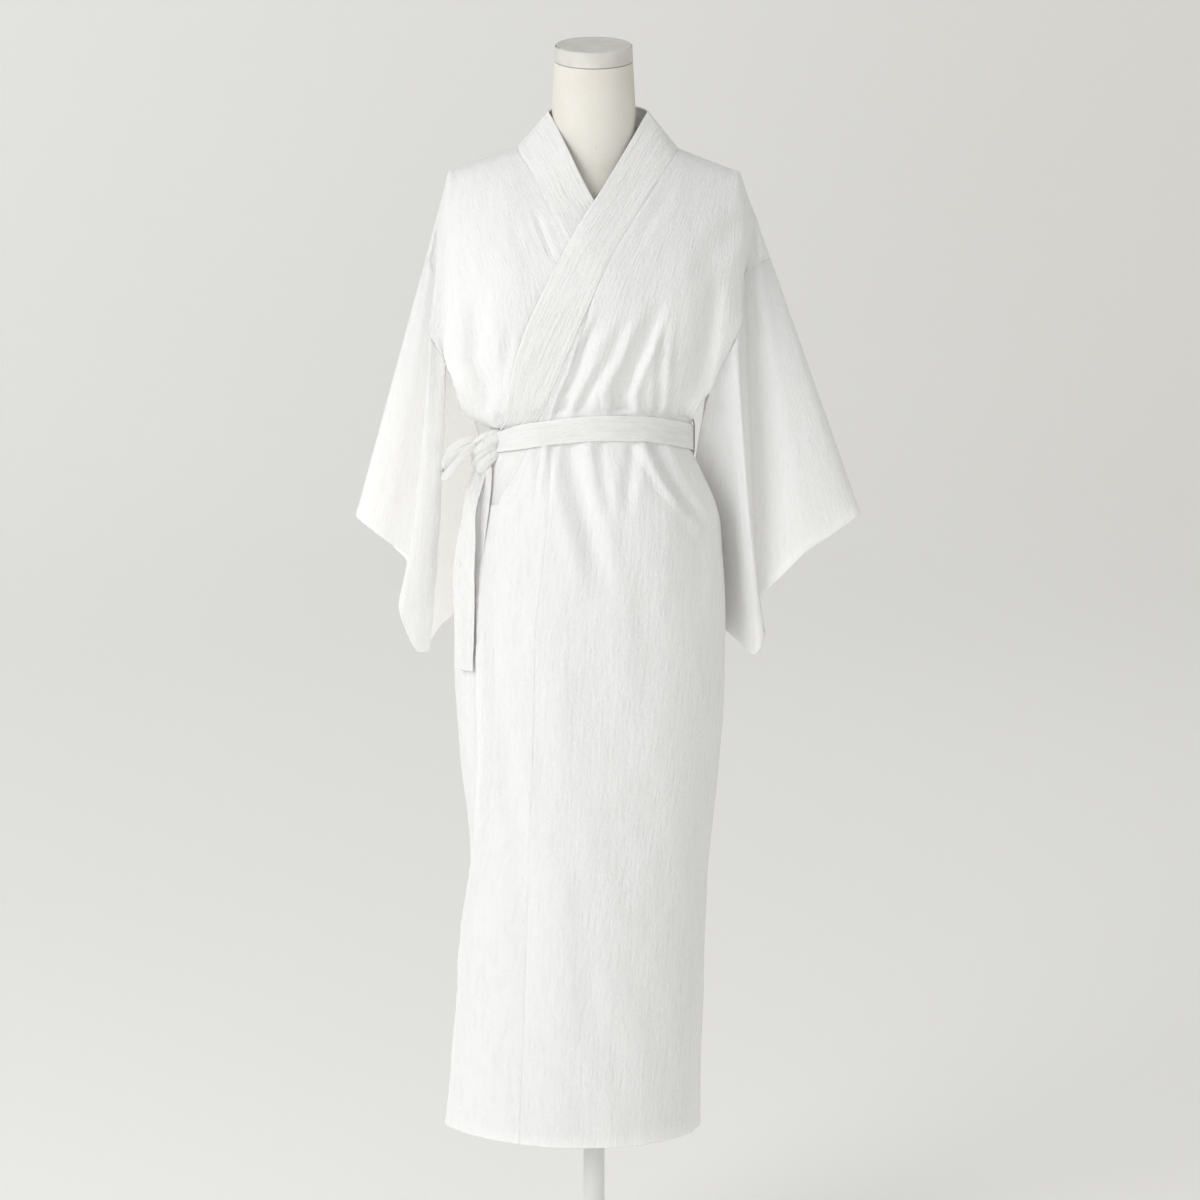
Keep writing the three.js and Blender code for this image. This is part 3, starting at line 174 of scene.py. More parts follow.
# How far the belt's two edges lie below its mean line, along the front.
BELT_DROP = table("angle top low", [
    (-82, 17.5, 6.5), (-74, 17, 8.4), (-60, 15, 9), (-45, 10.5, 8.5), (-30, 8.5, 6.3), (0, 3.9, 2.4),
    (30, 2.6, 0.8), (60, 3.7, 3), (90, 3, 3), (130, 0, 0),
])
FORM = table("z half front back neck", [
    (862, 148, 98, 100, 10), (880, 157, 104, 105, 10), (930, 161, 106, 104, 10), (985, 154, 103, 99, 10),
    (1040, 136, 95, 91, 10), (1095, 118, 86, 77, 10), (1145, 108, 80, 68, 10), (1200, 112, 82, 71, 10),
    (1260, 123, 90, 79, 10), (1320, 134, 97, 86, 10), (1360, 141, 97, 90, 10), (1400, 149, 91, 92, 20),
    (1440, 160, 80, 87, 30), (1470, 169, 63, 71, 42), (1490, 175, 52, 62, 49), (1499.8, 175, 45, 56, 51),
    (1508, 155, 41, 52, 52), (1516, 134, 38, 48, 53), (1522, 118, 35, 44, 53.5), (1526.8, 103, 30, 37, 54),
    (1532, 82, 26, 30, 54), (1540, 55, 26, 28, 54), (1552, 40, 26, 26, 54), (1575, 30, 26, 26, 53.5),
    (1605, 30, 26, 26, 52),
])
# Creases, given one by one: a half width, a depth and a skew, then the places (angle, height) along each.
# They are grouped by the share of their length over which each end fades, the lower and the upper one.
CREASES = {
    (0.02, 0.3): [  # up from the belt
        (6.5, 6.5, 0.4, (5.8, 1334), (-1, 1309), (-7.4, 1281), (-12.8, 1250), (-20.1, 1221), (-27.8, 1190),
         (-30.5, 1172)),
        (3.5, 3, 0, (-14.6, 1227), (-18.8, 1211), (-22.8, 1190), (-24.2, 1173)),
        (7, 4.6, 0, (25.3, 1340), (18.7, 1309), (11.1, 1268), (2.2, 1243), (-6, 1217), (-12.4, 1191),
         (-16.1, 1173)),
        (10, 9, -0.4, (39.9, 1351), (33.7, 1297), (26.8, 1258), (22, 1222), (25.5, 1195), (26.2, 1172)),
        (5, 3.5, 0, (42, 1343), (40.2, 1293), (41.2, 1248), (44.3, 1215), (46.3, 1189), (45.6, 1171)),
        (5, 2, 0, (48.7, 1305), (48.6, 1266), (53, 1214), (59.4, 1169)),
        (3, 2, 0, (4.2, 1238), (4, 1173)),
        (2.6, 1.6, 0, (9, 1232), (9.2, 1173)),
        (3, 2.2, 0, (13.5, 1243), (14.4, 1173)),
        (3, 1.8, 0, (18.1, 1235), (19.4, 1173)),
        (5, 2.5, 0, (-46.7, 1320), (-49, 1279), (-55.4, 1214), (-67.6, 1168)),
        (8, 5, 0.3, (152, 1400), (158, 1330), (164, 1250), (168, 1200), (169, 1150)),
        (9, 5.5, -0.3, (196, 1420), (199, 1330), (192, 1240), (190, 1150)),
        (4, 3, 0, (176, 1290), (178, 1220), (179, 1148)),
        (3.5, 2.4, 0, (184, 1260), (184, 1148)),
        (6, 4, 0, (141, 1330), (146, 1250), (152, 1200), (154, 1150)),
        (6.5, 4.5, 0, (213, 1360), (208, 1280), (203, 1210), (201, 1150)),
        (3, 2, 0, (160, 1230), (161, 1150)),
        (2.8, 1.8, 0, (172, 1235), (173, 1148)),
        (3, 2.2, 0, (207, 1225), (208, 1150)),
        (5, 3, 0, (225, 1300), (221, 1220), (216, 1152)),
    ],
    (0.5, 0.02): [  # down from the belt
        (5, 5.5, 0, (-29.8, 1165), (-30.5, 1146), (-30.7, 1114), (-30.3, 1083)),
        (6, 2.6, 0, (-37.9, 1157), (-37.8, 1126), (-37.8, 1089)),
        (13, 7, 0, (-20.5, 1165), (-17.3, 1146), (-10.8, 1103), (-3.7, 1052), (2.7, 995), (5.7, 951)),
        (7.5, 3.6, 0, (4.7, 1165), (5.9, 1128), (8, 1065)),
        (7, 4.2, 0, (29.8, 1165), (26.8, 1140), (22.6, 1103), (19.6, 1052)),
        (8, -4.4, 0, (34.8, 1163), (40.5, 1134), (47.2, 1105), (56, 1079), (66, 1046), (72.5, 1016)),
        (9, 6.2, 0, (43.3, 1163), (48.4, 1140), (54.2, 1105), (61.2, 1076), (70, 1038)),
        (7, 4, 0, (163, 1120), (160, 1060), (154, 980), (150, 900)),
        (4.5, 3, 0, (171, 1120), (171, 1060), (168, 990)),
        (8, 3, 0, (181, 1120), (183, 1050), (182, 930), (180, 800)),
        (5, 3.6, 0.3, (190, 1120), (196, 1060), (204, 985)),
        (4.5, -2.4, 0, (199, 1120), (207, 1070), (219, 1010)),
        (5, 3, -0.3, (148, 1125), (141, 1070), (131, 1010)),
        (4, -2.2, 0, (155, 1125), (150, 1070), (143, 1020)),
        (4, 2.2, 0, (214, 1125), (217, 1080), (222, 1040)),
        (6, 3, 0, (98, 1130), (96, 1070), (93, 990)),
        (7, 3.4, 0, (110, 1125), (113, 1060), (115, 980)),
        (4, 2.2, 0, (122, 1125), (124, 1080), (127, 1030)),
        (6, 3.2, 0, (-106, 1125), (-108, 1060), (-110, 990)),
        (5, 2.6, 0, (-118, 1125), (-121, 1070), (-124, 1010)),
    ],
    (0.3, 0.3): [  # fading at both ends
        (3.4, 2.2, 0.3, (-46.7, 1459), (-41.8, 1445), (-35.2, 1422), (-28.7, 1400), (-24.4, 1387)),
        (12, 3, 0, (86.8, 1464), (76.3, 1434), (65.8, 1397), (57.9, 1361)),
        (6, 1.3, 0, (60, 1490), (46.6, 1456), (32.6, 1428), (28.5, 1409)),
        (4.5, 0.9, 0, (-56.5, 1467), (-49.2, 1425), (-44.7, 1390)),
        (12, 2.4, 0, (-56.3, 1048), (-58.1, 997), (-57.9, 956), (-57.7, 850), (-52.9, 799), (-48.7, 718),
         (-46, 635), (-42.2, 530), (-38.2, 439), (-36.9, 360)),
        (16, -1.6, 0, (-22.4, 666), (-20.2, 574), (-17, 443), (-15.2, 337)),
        (12, 1.2, 0, (-30.9, 912), (-32, 808), (-28.9, 704)),
        (14, 1.4, 0, (28.1, 1014), (31.2, 911), (28, 782)),
        (7, 1.6, 0, (130, 1440), (140, 1400), (152, 1350)),
        (7.5, 1.8, 0, (231, 1450), (219, 1400), (210, 1345)),
        (8, 1.4, 0, (177, 1470), (180, 1400), (182, 1330)),
        (15, 2, 0, (172, 860), (170, 700), (168, 520), (167, 400)),
        (14, -1.8, 0, (189, 800), (191, 640), (195, 480)),
        (13, 1.6, 0, (146, 820), (143, 640), (142, 470)),
        (14, 1.8, 0, (220, 840), (224, 660), (226, 500)),
        (13, 1.6, 0, (84, 880), (86, 700), (88, 520)),
        (12, -1.6, 0, (104, 900), (106, 760), (108, 600)),
        (13, 1.7, 0, (-118, 900), (-116, 740), (-114, 560)),
        (12, 1.4, 0, (-90, 700), (-92, 560), (-93, 420)),
    ],
}


def side_table(sign, neck_x, tip_x, armhole, slit, seam, folds):
    return SimpleNamespace(sign=sign, neck_x=neck_x, tip=np.array([tip_x, 0, 1499.0]),
                           arm=dict(zip("txz", armhole)), slit=table("t x", slit),
                           seam=np.array(seam, float), folds=np.reshape(folds, (-1, 2, 3)).astype(float))


# Each side's armhole and slit, the sleeve's places on the seam (front ridge, valley and roll, the top,
# back roll, valley and ridge), and its folds: a middle and an end each, from the front edge round to the
# back edge.
LEFT = side_table(
    1, 107, 186, (0.18, 148, 1222),
    [(0, 125), (0.05, 125.1), (0.08, 126.4), (0.11, 129.9), (0.145, 137.2), (0.18, 148)],
    [(184, -50, 1298), (192, -13, 1366), (212, -15, 1385), (226, 0, 1390), (212, 15, 1385),
     (192, 13, 1362), (186, 50, 1296)],
    [(130, 60, 1060, 150, 69, 917), (180, 8, 1060, 185, 21, 893), (191, -28, 1062, 208, -9, 876),
     (197, -45, 1110, 220, -17, 906), (203, -7, 1140, 211, -7, 946), (247, -22, 1165, 275, -20, 1013),
     (285.5, 0, 1225, 345, 0, 1060), (245, 23, 1160, 273, 22, 1008), (204, 8, 1140, 214, 7, 940),
     (197, 48, 1100, 223, 14, 900), (190, 46, 1062, 211, -2, 877), (176, 66, 1062, 188, 28, 893),
     (136, 94, 1062, 144, 77, 920)])
RIGHT = side_table(
    -1, -96, -185, (0.3, -190, 1262),
    [(0, -125), (0.05, -143), (0.09, -164), (0.14, -171), (0.22, -180), (0.3, -190)],
    [(-208, -48, 1290), (-200, -15, 1360), (-210, -16, 1386), (-215, 0, 1390), (-210, 17, 1386),
     (-200, 19, 1356), (-205, 52, 1300)],
    [(-197, -34, 1080, -214, -2, 880), (-205, -40, 1082, -221, -6, 879), (-213, -43, 1085, -229, -11, 881),
     (-224, -42, 1095, -250, -24, 930), (-221, -8, 1140, -242, -8, 1006), (-244, -20, 1165, -272, -18, 1030),
     (-261.5, 0, 1223.5, -308, 0, 1057), (-244, 21, 1160, -270, 20, 1024), (-221, 9, 1140, -243, 8, 998),
     (-222, 46, 1090, -248, 20, 926), (-207, 54, 1076, -228, 1, 886), (-172, 77, 1074, -202, 50, 905),
     (-140, 86, 1078, -178, 80, 926)])


# ------------------------------------------------------------------ helpers

def mix(a, b, k):
    return a + (b - a) * k


def ease(k):
    c = np.clip(k, 0, 1)
    return c * c * (3 - 2 * c)


def bump(k):
    return (1 + math.cos(math.pi * k)) / 2 if abs(k) < 1 else 0.0


def read(rows, at, column):
    """Reads a column of a table at a value of the first one, along a smooth curve through its rows."""
    key = next(iter(rows[0]))
    keys, values = zip(*sorted((row[key], row[column]) for row in rows))
    if not keys[0] < at < keys[-1]:
        return values[0] if at <= keys[0] else values[-1]
    i = next(i for i in range(len(keys)) if keys[i + 1] >= at)

    def slope(i):
        return (values[i + 1] - values[i]) / (keys[i + 1] - keys[i])

    def tangent(other):
        mean = (slope(other) + own) / 2
        return 0.0 if mean * own <= 0 else math.copysign(min(abs(mean), 3 * abs(own)), own)

    own = slope(i)
    before = tangent(i - 1) if i > 0 else own
    after = tangent(i + 1) if i + 2 < len(keys) else own
    h = keys[i + 1] - keys[i]
    k = (at - keys[i]) / h
    return (values[i] * (2 * k**3 - 3 * k**2 + 1) + values[i + 1] * (3 * k**2 - 2 * k**3)
            + h * before * (k**3 - 2 * k**2 + k) + h * after * (k**3 - k**2))


def interval(stops, k):
    """The number of the interval that holds k, and the share of it that lies before k."""
    i = 0
    while i < len(stops) - 2 and stops[i + 1] < k:
        i += 1
    return i, (k - stops[i]) / (stops[i + 1] - stops[i])


# ------------------------------------------------------------------ the garment's surface

def shoulder_z(x):
    reach = abs(x) - NECK_HALF
    return NECK_POINT_Z - (SHOULDER_SLOPE if reach > 0 else NECK_SLOPE) * reach


def waist_z(x, front):
    across = min(1, abs(x) / WAIST_HALF)
    return WAIST_Z + (WAIST_RISE if front else -WAIST_DROP) * math.sqrt(1 - across * across)


def waist_x(angle):
    return WAIST_HALF * math.sin(math.radians(angle))


def upper_point(x, z, front, lift=0.0):
    low = waist_z(x, front)
    t = min(1, max(0, (z - low) / (shoulder_z(x) - low)))
    rows = CHEST if front else BACK
    half = read(rows, t, ("halfLeft" if x > 0 else "halfRight") if front else "half")
    depth = read(rows, t, "depth")
    across = min(1, abs(x) / half)
    y = depth * math.sqrt(1 - across * across)
    nx, ny = x / (half * half), y / max(1, depth * depth)
    size = math.hypot(nx, ny) or 1
    fade = ease((1 - t) / 0.12)
    sign = -1 if front else 1
    return np.array([x + nx / size * lift * fade, sign * (y + ny / size * lift * fade), z])


def skirt_fold(angle, z):
    total = 0.0
    for fold in SKIRT_FOLDS:
        along = (fold["fromZ"] - z) / (fold["fromZ"] - fold["toZ"])
        centre = mix(fold["fromAngle"], fold["toAngle"], min(1, max(0, along)))
        turn = ((angle - centre + 540) % 360) - 180
        fade = ease((along + 0.12) / 0.3) * ease((1.15 - along) / 0.4)
        total += fold["height"] * fade * bump(turn / (2 * fold["width"]))
    return total


def skirt_point(angle, rise, lift=0.0):
    level = mix(HEM_Z, WAIST_Z, rise)
    side, ahead = math.sin(math.radians(angle)), math.cos(math.radians(angle))
    left, right, depth = (read(SKIRT, level, column)
                          for column in ("left", "right", "front" if ahead > 0 else "back"))
    centre, half = (left + right) / 2, (right - left) / 2
    nx, ny = side / half, -ahead / depth
    size = math.hypot(nx, ny)
    out = lift + skirt_fold(angle, level) * ease((1 - rise) / 0.06)
    top = mix(WAIST_Z, waist_z(WAIST_HALF * side, ahead > 0), ease((rise - 0.6) / 0.4))
    return np.array([centre + half * side + nx / size * out, -depth * ahead + ny / size * out,
                     mix(HEM_Z, top, rise)])


def line_angle(column, rise):
    return read(LINES, mix(HEM_Z, WAIST_Z, rise), column)


def wrap_lift(side, x):
    return EDGE_LIFT * ease((-30 - x) / 80) if side.sign > 0 else -LAYER_STEP * ease((x + 124) / 60)


def wrapped(side, angle, rise, flare=0):
    return skirt_point(angle, rise, wrap_lift(side, waist_x(angle)) + flare)


# ------------------------------------------------------------------ panels as grids of points

def upper_rows(side):
    start = side.arm["t"]
    return [row["t"] for row in side.slit if row["t"] < start] + [mix(start, 1, k) for k in ROWS_ABOVE]


def armhole_share(side, t):
    return round((t - side.arm["t"]) / (1 - side.arm["t"]), 6)


def armhole_seam(side, front, k):
    lowest = upper_point(side.arm["x"], side.arm["z"], front)
    stops = [lowest, *(side.seam[:4] if front else side.seam[:2:-1])]
    i, share = interval(SEAM_STOPS, k)
    return mix(stops[i], stops[i + 1], share)


def hanging_points(side, front, k):
    """Points of the body's edge between the armhole and the tip of the shoulder."""
    edge = armhole_seam(side, front, k)
    points = []
    for crossing, share in ((0.24, 0.2), (0.6, 0.5), (0.87, 0.8)):
        point = edge
        if k > crossing:
            s = (k - crossing) / (1 - crossing)
            foot = armhole_seam(side, front, crossing)
            point = mix(foot, mix(side.tip, side.seam[3], share), s)
            point[1] = foot[1] * math.sqrt(max(0, 1 - s * s))
        points.append(point)
    return points + [edge]


def column_share(u, t, from_x, to_x):
    if abs(to_x - from_x) < 0.001:
        return u
    half = max(WAIST_HALF, abs(to_x))
    start, end = (math.asin(max(-1, min(1, x / half))) for x in (from_x, to_x))
    around = (half * math.sin(mix(start, end, u)) - from_x) / (to_x - from_x)
    return mix(around, u, ease(t / 0.2))


def chest_fold(side, front, u, t):
    across, low, high, width, depth = CHEST_FOLDS[front, side.sign]
    along = bump((t - (low + high) / 2) / ((high - low) / 2))
    return depth * bump((u - across) / width) * math.sqrt(along)


def upper_row(side, t, start, end, columns, front=True, folded=False):
    row = []
    for u in columns:
        share = column_share(u, t, start[0], end[0])
        x = mix(start[0], end[0], share)
        dip = waist_z(x, front) - mix(waist_z(start[0], front), waist_z(end[0], front), share)
        between = mix(start[1], end[1], share) + dip * (1 - ease(t / 0.15))
        z = waist_z(x, front) if t == 0 else shoulder_z(x) if t == 1 else between
        point = upper_point(x, z, front, wrap_lift(side, x) if front else 0)
        if folded and 0 < u < 1:
            point[1] += (1 if front else -1) * chest_fold(side, front, u, t)
        row.append(point)
    return row


def outer_place(side, t, front):
    k = armhole_share(side, t)
    if k > 0:
        return mix(side.arm["x"], side.tip[0], k**0.7), mix(side.arm["z"], side.tip[2], k)
    x = read(side.slit, t, "x")
    return x, (side.arm["z"] if k == 0 else mix(waist_z(x, front), shoulder_z(x), t))


def inner_z(t):
    return mix(WAIST_Z + WAIST_RISE * FRONT_RISE, NECK_POINT_Z, t)


def kensaki_row(side):
    """The row at which the okumi ends in a point under the collar."""
    return min(upper_rows(side), key=lambda t: abs(t - OKUMI_TOP))


def neck_shift(side, z):
    return 0 if side.sign > 0 else NECK_SHIFT * ease((z - OFF_CHEST_Z) / (NECK_POINT_Z - OFF_CHEST_Z))


def collar_place(side, t):
    z = inner_z(t)
    return side.sign * read(COLLAR, z, "seamX") + neck_shift(side, z), z


def okumi_place(side, t):
    top = kensaki_row(side)
    if t >= top:
        return collar_place(side, t)
    low = side.sign * waist_x(line_angle("okumiSeam", 1))
    return mix(low, collar_place(side, top)[0], (t / top) ** 0.92), inner_z(t)


def neck_place(side, i, k):
    """The inner end of a row of the back: on the centre seam, or round the neck."""
    if k < NECK_ROW:
        top = mix(RIGHT.arm["t"], 1, NECK_ROW)
        return 0.0, mix(waist_z(0, False), STAND["seamZ"], upper_rows(RIGHT)[i] / top)
    share = (k - NECK_ROW) / (1 - NECK_ROW)
    return (side.neck_x * math.sin(share * math.pi / 2),
            mix(STAND["seamZ"], shoulder_z(side.neck_x), share))


def upper_panel(side, front):
    rows = []
    for i, t in enumerate(upper_rows(side)):
        k = armhole_share(side, t)
        inner = okumi_place(side, t) if front else neck_place(side, i, k)
        points = upper_row(side, t, inner, outer_place(side, t, front), PANEL_COLUMNS, front, True)
        rows.append(points + (hanging_points(side, front, k) if k > 0 else [points[-1]] * 4))
    return rows


def skirt_panel(side, front):
    rows = []
    for rise in SKIRT_ROWS:
        inner = front_lines(side, rise)[0] if front else side.sign * 180
        outer = line_angle("sideLeft" if side.sign > 0 else "sideRight", rise)
        angles = [mix(inner, outer, u) for u in PANEL_COLUMNS]
        points = [wrapped(side, a, rise) if front else skirt_point(a, rise) for a in angles]
        rows.append(points + [points[-1]] * 4)
    return rows


def front_lines(side, rise):
    """Angles of the okumi's seam, of the free edge and of the collar's seam."""
    okumi = side.sign * line_angle("okumiSeam", rise)
    free = line_angle("freeEdge", rise)
    edge = free if side.sign > 0 else min(UNDERLAP_EDGE, -free)
    start = side.sign * math.degrees(math.asin(read(COLLAR, inner_z(0), "seamX") / WAIST_HALF))
    rising = max(0, (rise - COLLAR_END) / (1 - COLLAR_END)) ** 0.8
    return okumi, edge, mix(mix(edge, okumi, COLLAR_END_SHARE), start, rising)


def okumi_point(side, rise, across):
    okumi, edge, _ = front_lines(side, rise)
    flare = line_angle("flare", rise) * (1 - across) ** 2 if side.sign > 0 else 0
    return wrapped(side, mix(edge, okumi, across), rise, flare)


def okumi_upper(side):
    return [upper_row(side, t, collar_place(side, t), okumi_place(side, t), OKUMI_COLUMNS)
            for t in upper_rows(side) if t <= kensaki_row(side)]


def okumi_lower(side):
    return [[okumi_point(side, rise, a) for a in OKUMI_LOWER_COLUMNS]
            for rise in SKIRT_ROWS if rise <= COLLAR_END]


def okumi_beside(side):
    rows = [[okumi_point(side, COLLAR_END, mix(COLLAR_END_SHARE, 1, u)) for u in OKUMI_COLUMNS]]
    for rise in SKIRT_ROWS:
        if rise > COLLAR_END:
            okumi, _, collar = front_lines(side, rise)
            rows.append([wrapped(side, mix(collar, okumi, u), rise) for u in OKUMI_COLUMNS])
    return rows


def collar_front(side):
    rows = [[okumi_point(side, COLLAR_END, COLLAR_END_SHARE * (1 - u)) for u in BAND_COLUMNS]]
    for rise in SKIRT_ROWS:
        if COLLAR_END < rise < 1:
            _, free, seam = front_lines(side, rise)
            edge = mix(free, -side.sign * 76, 0.7)
            rows.append([wrapped(side, mix(seam, edge, u), rise) for u in BAND_COLUMNS])
    standing = [row for row in COLLAR if row["edgeY"] is not None]
    for t in upper_rows(side):
        place = collar_place(side, t)
        seam = upper_row(side, t, place, outer_place(side, t, True), [0])[0]
        z = place[1]
        x = side.sign * read(COLLAR, z, "edgeX") + neck_shift(side, z)
        edge_z = mix(waist_z(x, True), read(COLLAR, z, "edgeZ"), ease(t / 0.12))
        if z > OFF_CHEST_Z:
            y = read(standing, z, "edgeY" if side.sign > 0 else "underY")
            edge = np.array([x, y, edge_z])
        else:
            edge = upper_point(x, edge_z, True, wrap_lift(side, x))
        row = [mix(seam, edge, u) for u in BAND_COLUMNS]
        if z <= OFF_CHEST_Z:
            row[1:-1] = [upper_point(p[0], p[2], True, wrap_lift(side, p[0])) for p in row[1:-1]]
        rows.append(row)
    return rows


def collar_behind(side):
    rows = []
    first = COLLAR[0]
    side_x = side.sign * first["edgeX"] + (0 if side.sign > 0 else NECK_SHIFT)
    for k in reversed([k for k in ROWS_ABOVE if NECK_ROW <= k < 1]):
        turn = (k - NECK_ROW) / (1 - NECK_ROW) * math.pi / 2
        z = mix(STAND["seamZ"], shoulder_z(side.neck_x), turn * 2 / math.pi)
        seam = upper_point(side.neck_x * math.sin(turn), z, False)
        edge = np.array([mix(STAND["edgeX"], side_x, math.sin(turn)),
                         mix(first["edgeY"], STAND["edgeY"], math.cos(turn)),
                         mix(first["edgeZ"], STAND["edgeZ"], math.cos(turn))])
        rows.append([mix(seam, edge, u) for u in BAND_COLUMNS])
    return rows


def collar_grid():
    right = collar_front(RIGHT) + collar_behind(RIGHT)[:-1]
    return collar_front(LEFT) + collar_behind(LEFT) + right[::-1]


def sleeve_column(side, front, k):
    named = side.folds[:7] if front else side.folds[:5:-1]
    i, share = interval(FOLD_STOPS, k)
    lower = mix(named[i], named[i + 1], share)
    if i == len(FOLD_STOPS) - 2:
        lower[:, 1] = named[i][:, 1] * math.sqrt(max(0, 1 - share * share))
    return armhole_seam(side, front, k), *lower


def sleeve_grid(side):
    columns = [sleeve_column(side, True, k) for k in ROWS_ABOVE]
    columns += [sleeve_column(side, False, k) for k in ROWS_ABOVE[-2::-1]]
    return [[start * (1 - s) * (1 - 2 * s) + middle * 4 * s * (1 - s) + end * s * (2 * s - 1)
             for start, middle, end in columns] for s in np.arange(SLEEVE_ROWS + 1) / SLEEVE_ROWS]


def waist_surface(angle, z):
    """The cloth's surface under the belt, at a height that is below the waist line or on it."""
    low, high = 0.9, 1.0
    for _ in range(24 if z < skirt_point(angle, high)[2] else 0):
        middle = (low + high) / 2
        low, high = (middle, high) if skirt_point(angle, middle)[2] < z else (low, middle)
    return skirt_point(angle, high)


def belt_point(angle, height):
    share = height / BELT_WIDTH + 0.5
    drop = mix(read(BELT_DROP, angle, "low"), read(BELT_DROP, angle, "top"), share)
    z = skirt_point(angle, 1)[2] + height - drop
    base = waist_surface(angle, z)
    ahead = math.cos(math.radians(angle))
    nx, ny = math.sin(math.radians(angle)) / WAIST_HALF, -ahead / (WAIST_FRONT if ahead > 0 else WAIST_BACK)
    lift = wrap_lift(LEFT, waist_x(angle)) + ease((-28 - angle) / 8) * UNDER_BELT_LIFT
    out = (CLOTH + SASH) / 2 + BELT_GAP + ease((angle + 84) / 8) * lift
    size = math.hypot(nx, ny)
    return np.array([base[0] + nx / size * out, base[1] + ny / size * out, z])


# ------------------------------------------------------------------ finer surfaces

def hermite(values, knots, at):
    """A smooth curve of rows through the rows of a table, read at other places."""
    values = np.asarray(values, float)
    step = np.diff(knots)
    slope = np.diff(values, axis=0) / step[:, None, None]
    still = np.linalg.norm(np.diff(values, axis=0), axis=-1) < 1e-3
    tangent = np.empty_like(values)
    before, after = step[:-1, None, None], step[1:, None, None]
    tangent[1:-1] = (after * slope[:-1] + before * slope[1:]) / (before + after)
    low = np.minimum(np.linalg.norm(slope[:-1], axis=-1), np.linalg.norm(slope[1:], axis=-1))
    size = np.linalg.norm(tangent[1:-1], axis=-1)
    tangent[1:-1] *= np.minimum(1, 3 * low / np.maximum(size, 1e-9))[..., None]
    tangent[0] = 1.5 * slope[0] - 0.5 * tangent[1]
    tangent[-1] = 1.5 * slope[-1] - 0.5 * tangent[-2]
    start, end = tangent[:-1].copy(), tangent[1:].copy()
    start[1:][still[:-1]] = slope[1:][still[:-1]]
    end[:-1][still[1:]] = slope[:-1][still[1:]]
    start[still] = 0
    end[still] = 0
    i = np.clip(np.searchsorted(knots, at, side="right") - 1, 0, len(knots) - 2)
    h = step[i][:, None, None]
    k = ((at - knots[i]) / step[i])[:, None, None]
    return (values[i] * (2 * k**3 - 3 * k**2 + 1) + values[i + 1] * (3 * k**2 - 2 * k**3)
            + h * start[i] * (k**3 - 2 * k**2 + k) + h * end[i] * (k**3 - k**2))


def lengths(grid, mirrored=False):
    """Mean and long length of each interval of a grid along its first axis."""
    chord = np.linalg.norm(np.diff(grid, axis=0), axis=-1)
    held = np.where(chord > 0.01, chord, np.nan)
    mean, most = (np.array([measure(row) if np.isfinite(row).any() else 0.5 for row in held])
                  for measure in (np.nanmean, lambda row: np.nanpercentile(row, 85)))
    if mirrored:
        mean, most = (mean + mean[::-1]) / 2, np.maximum(most, most[::-1])
    return mean, most


def stations(mean, most, step, edges, close=(0.9, 1.9, 3.2)):
    """Knots, and the places between them where the surface is read; finer beside the edges."""
    knots = np.concatenate([[0], np.cumsum(mean)])
    at = [knots]
    for i, length in enumerate(most):
        count = max(1, round(length / step))
        at.append(mix(knots[i], knots[i + 1], np.arange(1, count) / count))
    at += [knots[edge] + sign * np.array(close) for edge in edges for sign in (-1, 1)]
    at = np.round(np.concatenate(at), 4)
    at = np.unique(np.clip(at[(at > -1e-3) & (at < knots[-1] + 1e-3)], 0, knots[-1]))
    kept = [at[0]]
    for value in at[1:]:
        if value - kept[-1] > 0.55 or np.isclose(knots, value, atol=1e-3).any():
            kept.append(value)
    return knots, np.array(kept)


def refine(grid, step=STEP, row_edges=(0, -1), column_edges=(0, -1), mirrored=False,
           rows=None, columns=None):
    """A finer grid through a grid of points, with its lengths along rows and columns in mm."""
    grid = np.asarray(grid, float)
    turned = grid.transpose(1, 0, 2)
    rows = rows or stations(*lengths(grid, mirrored), step, row_edges)
    columns = columns or stations(*lengths(turned), step, column_edges)
    points = hermite(hermite(grid, *rows).transpose(1, 0, 2), *columns).transpose(1, 0, 2)
    return SimpleNamespace(points=points, row_knots=rows[0], rows=rows[1],
                           column_knots=columns[0], columns=columns[1])


